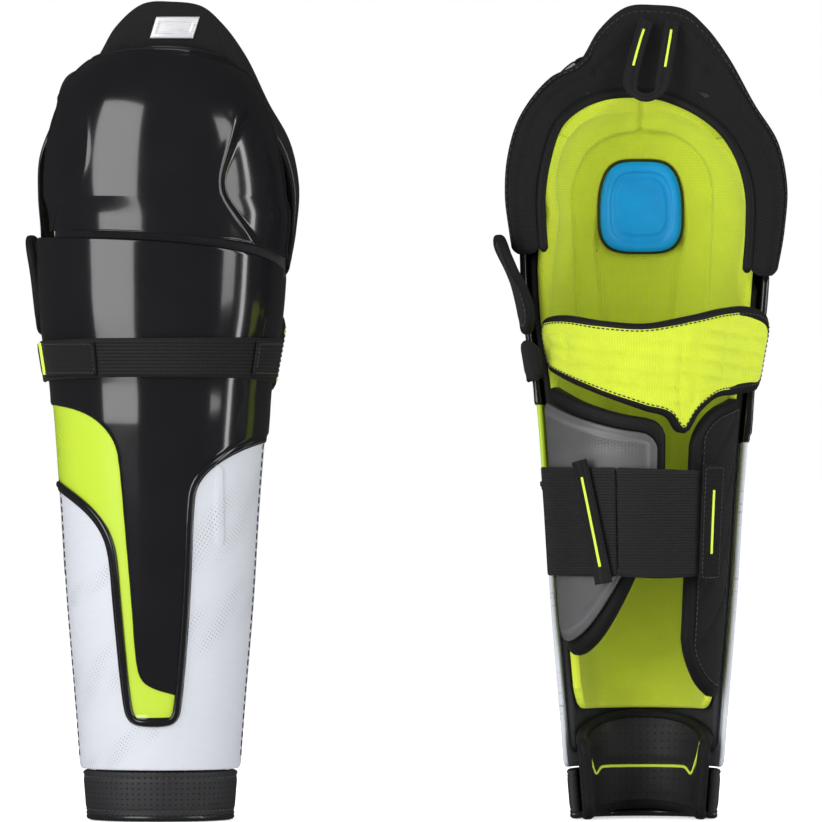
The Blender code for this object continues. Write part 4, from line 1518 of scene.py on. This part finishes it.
@dataclass
class AnkleEnd:
    """The padded ankle lining, the perforated band below the shell, their rolls and the lime piping."""

    guard: Guard

    def build(self) -> None:
        """Make the lining, the band and the trims."""
        top = Edge(((-112.0, 46.0), (-80.0, 52.0), (-40.0, 61.0), (0.0, 64.0),
                    (40.0, 61.0), (80.0, 52.0), (112.0, 46.0)))
        foot = Edge(((-112.0, 1.2), (-85.0, 1.2), (-55.0, 3.4), (0.0, 6.5), (55.0, 3.4), (85.0, 1.2), (112.0, 1.2)))
        lining = Panel(LEG, (-111.0, 111.0), foot, top, 0.0, 5.5, 7.0, 2.8, 1.8)
        seen = lining.border
        puff = 1.1 * smooth(seen, 3.0, 12.0) - 1.2 * groove(lining.height - 33.0, 1.6) * smooth(seen, 0.0, 4.0)
        self.guard.add("ankle_lining", lining.solid(0.0, puff), Look.INNER, ROOT, "black_fabric", ["ankle_liner"], 0.6)
        self.guard.add("ankle_lining_edge", lining.binding(6.0, 0.7), Look.BINDING, ROOT, "black_fabric")
        angle = np.linspace(-96.0, 96.0, 240)
        height = 31.0 + 15.0 * smooth(np.abs(angle), 62.0, 92.0) - 4.0 * groove(np.abs(angle) - 62.0, 8.0)
        path, normals = LEG.point(angle, height, -0.9), LEG.normal(angle, height, -0.9)
        self.guard.add("ankle_piping", swept(path, normals, oval(1.8, 1.6, 8), girth=ends_taper(240, 0.01)),
                       Look.LIME_THREAD, ROOT, "lime_fabric")
        band = Panel(LEG, (-86.0, 86.0), flat_edge(2.2), flat_edge(30.6), 7.0, 6.4, 3.0, 2.2, 1.6)
        relief = -0.8 * groove(band.height - 26.3, 0.9) - 0.8 * groove(band.height - 6.6, 0.9)
        self.guard.add("ankle_guard_band", band.solid(relief), Look.BAND, ROOT, "black_fabric", ["ankle_band"], 0.6)
        rows = []
        for height in (26.3, 6.6):
            turn = np.linspace(-84.0, 84.0, 200)
            path = LEG.point(turn, np.full(200, height), 13.1)
            rows.append(dashes(path, LEG.normal(turn, np.full(200, height), 13.1), 3.6, 2.4, 0.7, 0.35))
        self.guard.add("ankle_stitches", joined(rows), Look.GREY_THREAD, ROOT, "black_webbing")
        turn = np.linspace(-86.0, 86.0, 200)
        height = np.full(200, 2.6)
        roll = swept(LEG.point(turn, height, 9.0), LEG.normal(turn, height, 9.0), oval(4.6, 9.0, 14, 2.6),
                     girth=ends_taper(200, 0.02))
        self.guard.add("ankle_foot_roll", roll, Look.EDGE, ROOT, "black_fabric")


@dataclass
class SideFlap:
    """The leaf-shaped wing on the outer side, between the shell's lip and the hood."""

    guard: Guard

    def build(self) -> None:
        """Make the wing with a bound edge and a stitched rim."""
        low = Edge(((-113.0, 300.0), (-106.0, 293.0), (-96.0, 292.0), (-84.8, 298.0)))
        high = Edge(((-113.0, 330.0), (-106.0, 346.0), (-97.0, 350.0), (-84.8, 343.0)))
        panel = Panel(LEG, (-113.0, -84.8), low, high, 13.4, 4.2, 8.0, 2.1, 1.3, 4.0 + 10.0 * self.guard.lobe)
        puff = 0.8 * smooth(panel.border, 3.0, 9.0)
        self.guard.add("side_wing", panel.solid(puff), Look.TEXTILE, ROOT, "black_fabric", ["side_flap"], 0.6)
        self.guard.add("side_wing_edge", panel.binding(4.6, 0.5, 1.6), Look.BINDING, ROOT, "black_fabric")
        self.guard.add("side_wing_stitches", panel.seam(4.6), Look.GREY_THREAD, ROOT, "black_webbing")


@dataclass
class FrontStrap:
    """The webbing strap round the shell below the knee, with its label, its tab and its anchor."""

    guard: Guard
    body: str = "front_strap"

    def build(self) -> None:
        """Make the strap, the label and tab, their borders and the anchor on the outer side."""
        low = Edge(((-90.0, 262.0), (-40.0, 264.6), (0.0, 265.2), (50.0, 264.0), (78.0, 262.0)))
        high = Edge(((-90.0, 285.6), (-40.0, 288.0), (0.0, 288.4), (50.0, 288.6), (78.0, 288.0)))
        strap = Panel(LEG, (-88.0, 78.0), low, high, 17.0, 2.0, 1.2, 0.9, 1.6)
        ripple = 0.35 * np.sin(strap.across[None, :] / 9.0) * smooth(strap.border, 0.0, 3.0)
        edge = 0.35 * groove(strap.border - 1.6, 0.8)
        self.guard.add("front_strap_webbing", strap.solid(ripple * 0.25 + edge), Look.STRAP, self.body,
                       "black_webbing", ["front_strap"])
        label = Panel(LEG, (-71.0, -30.5), flat_edge(266.2), flat_edge(286.2), 19.6, 1.5, 1.0, 0.6, 1.4)
        self.guard.add("front_label", label.solid(), Look.LABEL, self.body, "black_webbing", ["front_strap_patch"])
        self.guard.add("front_label_stitches", label.seam(1.5, 2.6, 1.7, 0.6, 0.05), Look.THREAD, self.body,
                       "black_webbing")
        bar = Panel(LEG, (-72.0, -68.6), flat_edge(266.6), flat_edge(285.8), 20.9, 0.8, 0.6, 0.4, 0.7)
        self.guard.add("front_label_bar", bar.solid(), Look.LIME_THREAD, self.body, "lime_trim")
        tab = Panel(LEG, (50.0, 74.0), flat_edge(265.6), flat_edge(287.0), 19.6, 1.5, 1.2, 0.6, 1.3)
        self.guard.add("front_tab", tab.solid(), Look.STRAP, self.body, "black_webbing", ["front_strap_tab"])
        self.guard.add("front_tab_stitches", tab.seam(2.0, 2.6, 1.8, 0.6, 0.05), Look.GREY_THREAD, self.body,
                       "black_webbing")
        anchor = Panel(LEG, (-113.0, -89.5), Edge(((-113.0, 264.5), (-101.0, 263.0), (-89.5, 265.0))),
                       Edge(((-113.0, 284.0), (-101.0, 287.5), (-89.5, 286.0))), 12.6, 6.8, 4.0, 3.2, 1.3)
        self.guard.add("strap_anchor", anchor.solid(0.6 * smooth(anchor.border, 2.0, 6.0)), Look.PAD, ROOT,
                       "black_fabric", ["front_strap_anchor"], 0.5)


@dataclass
class UpperWrap:
    """The quilted lime wrap behind the top of the calf, bound in black."""

    guard: Guard

    def build(self) -> None:
        """Make the pad with its sewn cells, its binding and stitches."""
        low = Edge(((88.0, 259.0), (112.0, 256.0), (138.0, 251.0), (149.0, 242.0), (156.0, 232.5), (163.0, 240.0),
                    (180.0, 246.0), (197.0, 251.5), (225.0, 261.0), (250.0, 268.5), (262.0, 271.0)))
        high = Edge(((88.0, 297.0), (104.0, 305.0), (130.0, 305.5), (156.0, 300.5), (181.0, 296.0), (205.0, 297.5),
                     (231.0, 301.0), (250.0, 300.0), (262.0, 297.0)))
        pad = Panel(LEG, (88.0, 262.0), low, high, 0.4, 5.6, 9.0, 2.8, 1.6, bulge=(122.0, 90.0, 11.0))
        seen = np.stack([pad.across[None, :] + 0.0 * pad.height, pad.height], axis=-1)
        cells = (np.abs(np.sin(np.pi * (seen[..., 1] - 0.10 * seen[..., 0]) / 9.0)) ** 0.5
                 * np.abs(np.sin(np.pi * seen[..., 0] / 19.0)) ** 0.3)
        seam = groove(pad.angle - 160.0, 1.6)
        relief = (2.6 * cells - 2.2 - 1.0 * seam) * smooth(pad.border, 6.0, 11.0) + 0.9
        sewn = (
            self.guard.add("upper_wrap_pad", pad.solid(relief, 0.4 * cells), Look.LIME, None, "lime_fabric",
                           ["upper_calf_wrap"], 0.7),
            self.guard.add("upper_wrap_edge", pad.binding(8.0, 0.9, 2.8), Look.BINDING, None, "black_fabric"),
            self.guard.add("upper_wrap_stitches", pad.seam(3.4, 3.0, 2.0, 0.8, 1.1), Look.THREAD, None,
                           "black_webbing"))
        for piece in sewn:
            self.guard.body("upper_wrap")
            self.guard.spot(68.0, 0.0, 280.0)
            self.guard.spot(54.0, 0.0, 280.0)
            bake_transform(piece)


@dataclass
class CalfWrap:
    """The padded calf wrap with its grey plate, hinged at the shell's outer edge."""

    guard: Guard
    body: str = "calf_wrap"

    def build(self) -> None:
        """Make the pad, the plate with its plateau, and the bound edge."""
        low = Edge(((-192.0, 196.0), (-184.0, 178.0), (-170.0, 150.0), (-155.0, 127.0), (-140.0, 111.0),
                    (-125.0, 102.5), (-112.0, 100.0), (-100.0, 104.0), (-92.0, 112.0)))
        high = Edge(((-192.0, 236.0), (-180.0, 239.5), (-165.0, 242.0), (-140.0, 248.0), (-110.0, 256.5),
                     (-92.0, 260.0)))
        pad = Panel(LEG, (-192.0, -92.0), low, high, 0.3, 6.4, 8.0, 3.2, 1.9)
        inner = 1.0 * smooth(pad.border, 5.0, 12.0) - 1.4 * groove(pad.border - 13.0, 1.5)
        self.guard.add("calf_pad", pad.solid(0.0, inner), Look.INNER, self.body, "black_fabric", ["calf_wrap"], 0.6)
        self.guard.add("calf_edge", pad.binding(11.0, 0.9, 4.2), Look.BINDING, self.body, "black_fabric")
        self.guard.add("calf_edge_stitches", pad.seam(8.4, 3.2, 2.2, 0.7, 1.1), Look.GREY_THREAD, self.body,
                       "black_webbing")
        plate = Panel(LEG, (-186.5, -97.0), lambda angle: low(angle) + 7.5, lambda angle: high(angle) - 8.0, 8.6, 2.4,
                      8.0, 1.1, 1.3)
        raised = smooth(plate.border, 4.2, 6.2)
        ridge = smooth(plate.border, 9.0, 10.2) * smooth(plate.height, 226.0, 218.0)
        dotted = smooth(plate.border, 6.4, 7.4) * smooth(plate.height, 214.0, 228.0)
        # mask of the painted highlight along the plate's bevel, read by the grey film's colour
        bevel = groove(plate.border - 5.2, 0.9)
        self.guard.add("calf_plate", plate.solid(1.1 * raised + 0.7 * ridge, 0.0, {"dotted": dotted, "bevel": bevel}),
                       Look.PLATE, self.body, "grey_plate", ["calf_guard"])
        self.strap_base()

    def strap_base(self) -> None:
        """Make the fixed part of the rear strap and the slanted keeper over it."""
        base = Panel(LEG, (-162.8, -98.0), flat_edge(146.5), flat_edge(211.5), 14.0, 2.0, 1.5, 0.9, 1.7)
        lines = 0.4 * groove(base.border - 2.2, 0.9)
        self.guard.add("rear_strap_root", base.solid(lines), Look.ELASTIC, self.body, "black_webbing",
                       ["rear_strap_base"])
        share = np.linspace(0.0, 1.0, 60)
        angle = -142.5 - 13.0 * (1.0 - share)
        height = 142.5 + 73.0 * share
        path, normals = LEG.point(angle, height, 18.3), LEG.normal(angle, height, 18.3)
        keeper = swept(path, normals, oval(11.5, 1.6, 14, 4.0), girth=None)
        self.guard.add("rear_strap_keeper", keeper, Look.LABEL, self.body, "black_webbing", ["strap_keeper"])
        path, normals = LEG.point(angle[8:-8], height[8:-8], 19.25), LEG.normal(angle[8:-8], height[8:-8], 19.25)
        bars = swept(path, normals, oval(1.8, 0.5, 8, 4.0))
        self.guard.add("rear_keeper_bar", bars, Look.LIME_THREAD, self.body, "lime_trim")


@dataclass
class RearStrap:
    """The wide elastic strap that crosses the calf, with its tab."""

    guard: Guard
    body: str = "rear_strap"

    def build(self) -> None:
        """Make the strap, the hook tab on its end, and its accent bars."""
        low = Edge(((-222.0, 147.5), (-190.0, 145.5), (-163.3, 146.5)))
        high = Edge(((-222.0, 209.0), (-190.0, 210.5), (-163.3, 211.5)))
        strap = Panel(LEG, (-222.0, -163.3), low, high, 14.0, 2.0, 1.5, 0.9, 1.7)
        waves = 0.18 * np.sin(strap.across[None, :] / 9.0 + strap.height / 23.0) * smooth(strap.border, 0.0, 3.0)
        piece = self.guard.add("rear_strap_elastic", strap.solid(0.4 * groove(strap.border - 2.2, 0.9) + waves),
                               Look.ELASTIC, None, "black_webbing", ["rear_strap"])
        near, far = (LEG.point(np.array(angle), np.array(180.0), 16.2) for angle in (-164.0, -169.0))
        self.guard.body("calf_wrap")
        self.guard.body(self.body)
        self.guard.spot(*near)
        self.guard.spot(*far)
        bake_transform(piece)
        tab = Panel(LEG, (-226.0, -211.0), flat_edge(144.0), flat_edge(213.0), 17.6, 1.6, 3.0, 0.7, 1.3)
        self.guard.add("rear_tab", tab.solid(), Look.LABEL, self.body, "black_webbing", ["rear_strap_tab"])
        self.guard.add("rear_tab_stitches", tab.seam(1.8, 2.8, 1.9, 0.6, 0.05), Look.GREY_THREAD, self.body,
                       "black_webbing")
        height = np.linspace(160.0, 198.0, 40)
        turn = np.full(40, -218.5)
        bars = swept(LEG.point(turn, height, 19.3), LEG.normal(turn, height, 19.3), oval(1.8, 0.5, 8, 4.0))
        self.guard.add("rear_tab_bar", bars, Look.LIME_THREAD, self.body, "lime_trim")


@dataclass
class MedialWrap:
    """The padded black wrap on the inner side, which the rear strap closes on."""

    guard: Guard
    body: str = "medial_wrap"

    def build(self) -> None:
        """Make the quilted pad, its bound edge, its stitches and the hook patch."""
        low = Edge(((92.0, 74.0), (110.0, 76.0), (130.0, 84.0), (148.0, 104.0)))
        high = Edge(((92.0, 253.0), (112.0, 250.0), (132.0, 244.0), (148.0, 230.0)))
        pad = Panel(LEG, (92.0, 148.0), low, high, 0.3, 6.4, 9.0, 3.2, 1.9)
        seen = np.stack([pad.across[None, :] + 0.0 * pad.height, pad.height], axis=-1)
        lines = [np.array([(4.0, 252.0), (46.0, 196.0)]), np.array([(4.0, 214.0), (46.0, 158.0)]),
                 np.array([(4.0, 140.0), (44.0, 96.0)]), np.array([(4.0, 178.0), (46.0, 120.0)])]
        cuts = np.minimum(sum(groove(away(seen, line), 1.5) for line in lines), 1.0)
        inside = smooth(pad.border, 4.0, 8.0)
        self.guard.add("medial_pad", pad.solid((0.9 - 1.6 * cuts) * inside, (0.8 - 1.4 * cuts) * inside), Look.PAD,
                       self.body, "black_fabric", ["medial_wrap"], 0.6)
        self.guard.add("medial_edge", pad.binding(7.5, 0.8, 2.6), Look.BINDING, self.body, "black_fabric")
        self.guard.add("medial_stitches", pad.seam(5.6, 3.2, 2.2, 0.7, 0.9), Look.GREY_THREAD, self.body,
                       "black_webbing")
        patch = Panel(LEG, (119.0, 143.0), flat_edge(150.0), flat_edge(208.0), 8.4, 1.6, 2.5, 0.7, 1.5)
        self.guard.add("medial_hook_tape", patch.solid(), Look.HOOK, self.body, "black_webbing", ["medial_hook_patch"])


@dataclass
class PullLoop:
    """The webbing loop that hangs inside the hood, for pulling the guard on."""

    guard: Guard

    def build(self) -> None:
        """Carry flat webbing down one leg, round the foot of the loop and up the other leg."""
        line = rounded([(2.0, 16.0, 479.5), (-1.5, 11.5, 470.0), (-5.5, 7.0, 456.0), (-8.5, 4.0, 444.0),
                        (-7.0, 3.0, 436.0), (1.5, 2.6, 432.0), (9.5, 3.0, 436.0), (11.5, 4.0, 444.0),
                        (13.5, 7.0, 456.0), (16.0, 11.5, 470.0), (17.5, 16.0, 479.5)], 3)
        path = resampled(line, 0.9)
        normals = np.tile(np.array([0.05, -1.0, -0.25]), (len(path), 1))
        narrow = 1.0 - 0.42 * smooth(442.0 - path[:, 2], 0.0, 8.0)
        loop = swept(path, normals, oval(8.6, 1.7, 16, 3.4), girth=narrow)
        self.guard.add("pull_webbing", loop, Look.STRAP, "loop", "black_webbing", ["pull_loop"])
        rows = []
        for start, end in ((6, 34), (-34, -6)):
            track = path[start:end] + np.array([0.0, -0.95, -0.2])
            rows.append(swept(track, normals[start:end], oval(1.5, 0.5, 8, 4.0)))
        self.guard.add("pull_webbing_bars", joined(rows), Look.LIME_THREAD, "loop", "lime_trim")


# ---------------------------------------------------------------- studio


@dataclass(frozen=True)
class Softbox:
    """A rectangular lamp that points at the middle of the pair."""

    name: str
    place: Tuple[float, float, float]
    size: Pair
    power: float
    mirrored: bool = True

    def build(self, target: Vector) -> None:
        """Add the lamp, which shows in gloss where it is mirrored."""
        data = bpy.data.lights.new(self.name, "AREA")
        data.shape = "RECTANGLE"
        data.size, data.size_y = self.size
        data.energy = self.power
        lamp = bpy.data.objects.new(self.name, data)
        bpy.context.scene.collection.objects.link(lamp)
        lamp.location = self.place
        lamp.visible_glossy = self.mirrored
        lamp.visible_camera = False
        lamp.rotation_euler = (target - Vector(self.place)).to_track_quat("-Z", "Y").to_euler()


@dataclass
class Studio:
    """The pale floor, the soft lights and the level camera in front of the pair."""

    distance: float = 6.0
    width: float = 0.4932
    middle: float = 0.245
    aside: float = 0.0052
    boxes: Tuple[Softbox, ...] = (
        Softbox("left_box", (-1.15, -1.25, 0.75), (1.15, 1.3), 22.0),
        Softbox("right_strip", (1.25, -0.45, 0.45), (0.12, 1.4), 4.0),
        Softbox("right_soft", (1.2, -0.9, 0.7), (0.35, 1.0), 4.5),
        Softbox("front_fill", (0.1, -2.4, 1.0), (1.8, 1.4), 8.0, False),
        Softbox("back_box", (0.3, 2.0, 1.0), (1.6, 1.2), 12.0, False),
    )
    sky: float = 1.5

    def build(self) -> None:
        """Make the camera, the floor, the surroundings and the lamps."""
        self.camera()
        self.floor()
        self.surroundings()
        for box in self.boxes:
            box.build(Vector((0.0, 0.0, self.middle)))
        data = bpy.data.lights.new("ceiling", "SUN")
        data.energy = self.sky
        data.angle = np.radians(120.0)
        ceiling = bpy.data.objects.new("ceiling", data)
        bpy.context.scene.collection.objects.link(ceiling)
        ceiling.location = (0.0, 0.0, 3.0)
        ceiling.visible_glossy = False

    def camera(self) -> None:
        """Make a long lens whose frame is as wide as the view at the pair's middle."""
        data = bpy.data.cameras.new("camera")
        data.sensor_width = 36.0
        data.lens = data.sensor_width * self.distance / self.width
        data.clip_end = 100.0
        camera = bpy.data.objects.new("camera", data)
        bpy.context.scene.collection.objects.link(camera)
        camera.location = (self.aside, -self.distance, self.middle)
        camera.rotation_euler = (np.pi / 2, 0.0, 0.0)
        bpy.context.scene.camera = camera

    def floor(self) -> None:
        """Lay a wide square floor at height 0."""
        side = 30.0
        places = np.linspace(-side, side, 9)
        grid = np.stack([*np.meshgrid(places, places), np.zeros((9, 9))], axis=-1)
        index = np.arange(81).reshape(9, 9)
        mesh = bpy.data.meshes.new("floor")
        mesh.from_pydata(grid.reshape(-1, 3).tolist(), [], grid_faces(index).tolist())
        mesh.materials.append(Look.FLOOR.material())
        floor = bpy.data.objects.new("floor", mesh)
        floor.visible_glossy = False
        bpy.context.scene.collection.objects.link(floor)

    def surroundings(self) -> None:
        """Fill the room with plain pale light, which the camera sees as white."""
        world = bpy.data.worlds.new("room")
        bpy.context.scene.world = world
        world.use_nodes = True
        tree = world.node_tree
        tree.nodes.clear()
        seen = tree.nodes.new("ShaderNodeBackground")
        seen.inputs["Color"].default_value = (1.0, 1.0, 1.0, 1.0)
        seen.inputs["Strength"].default_value = 1.0
        lit = tree.nodes.new("ShaderNodeBackground")
        lit.inputs["Color"].default_value = (0.96, 0.98, 1.0, 1.0)
        lit.inputs["Strength"].default_value = 0.2
        mirrored = tree.nodes.new("ShaderNodeBackground")
        mirrored.inputs["Strength"].default_value = 0.06
        ray = tree.nodes.new("ShaderNodeLightPath")
        gloss = tree.nodes.new("ShaderNodeMixShader")
        mix = tree.nodes.new("ShaderNodeMixShader")
        out = tree.nodes.new("ShaderNodeOutputWorld")
        tree.links.new(ray.outputs["Is Camera Ray"], mix.inputs[0])
        tree.links.new(ray.outputs["Is Glossy Ray"], gloss.inputs[0])
        tree.links.new(lit.outputs[0], gloss.inputs[1])
        tree.links.new(mirrored.outputs[0], gloss.inputs[2])
        tree.links.new(gloss.outputs[0], mix.inputs[1])
        tree.links.new(seen.outputs[0], mix.inputs[2])
        tree.links.new(mix.outputs[0], out.inputs[0])
        bpy.context.scene.view_settings.view_transform = "Standard"


PARTS = (ShinShell, ShinCore, LegLining, KneeCup, Hood, ThighTrim, GelInsert, AnkleEnd, SideFlap, FrontStrap, UpperWrap,
         CalfWrap, RearStrap, MedialWrap, PullLoop)


def main() -> None:
    """Build the studio and both guards."""
    logging.basicConfig(level=logging.INFO, format="%(message)s")
    Studio().build()
    for side, centre, facing, lobe in (("right", -145.0, -1.0, 0.0), ("left", 145.0, 1.0, 1.0)):
        guard = Guard(side, centre, facing, lobe)
        for part in PARTS:
            part(guard).build()


if __name__ == "__main__":
    main()
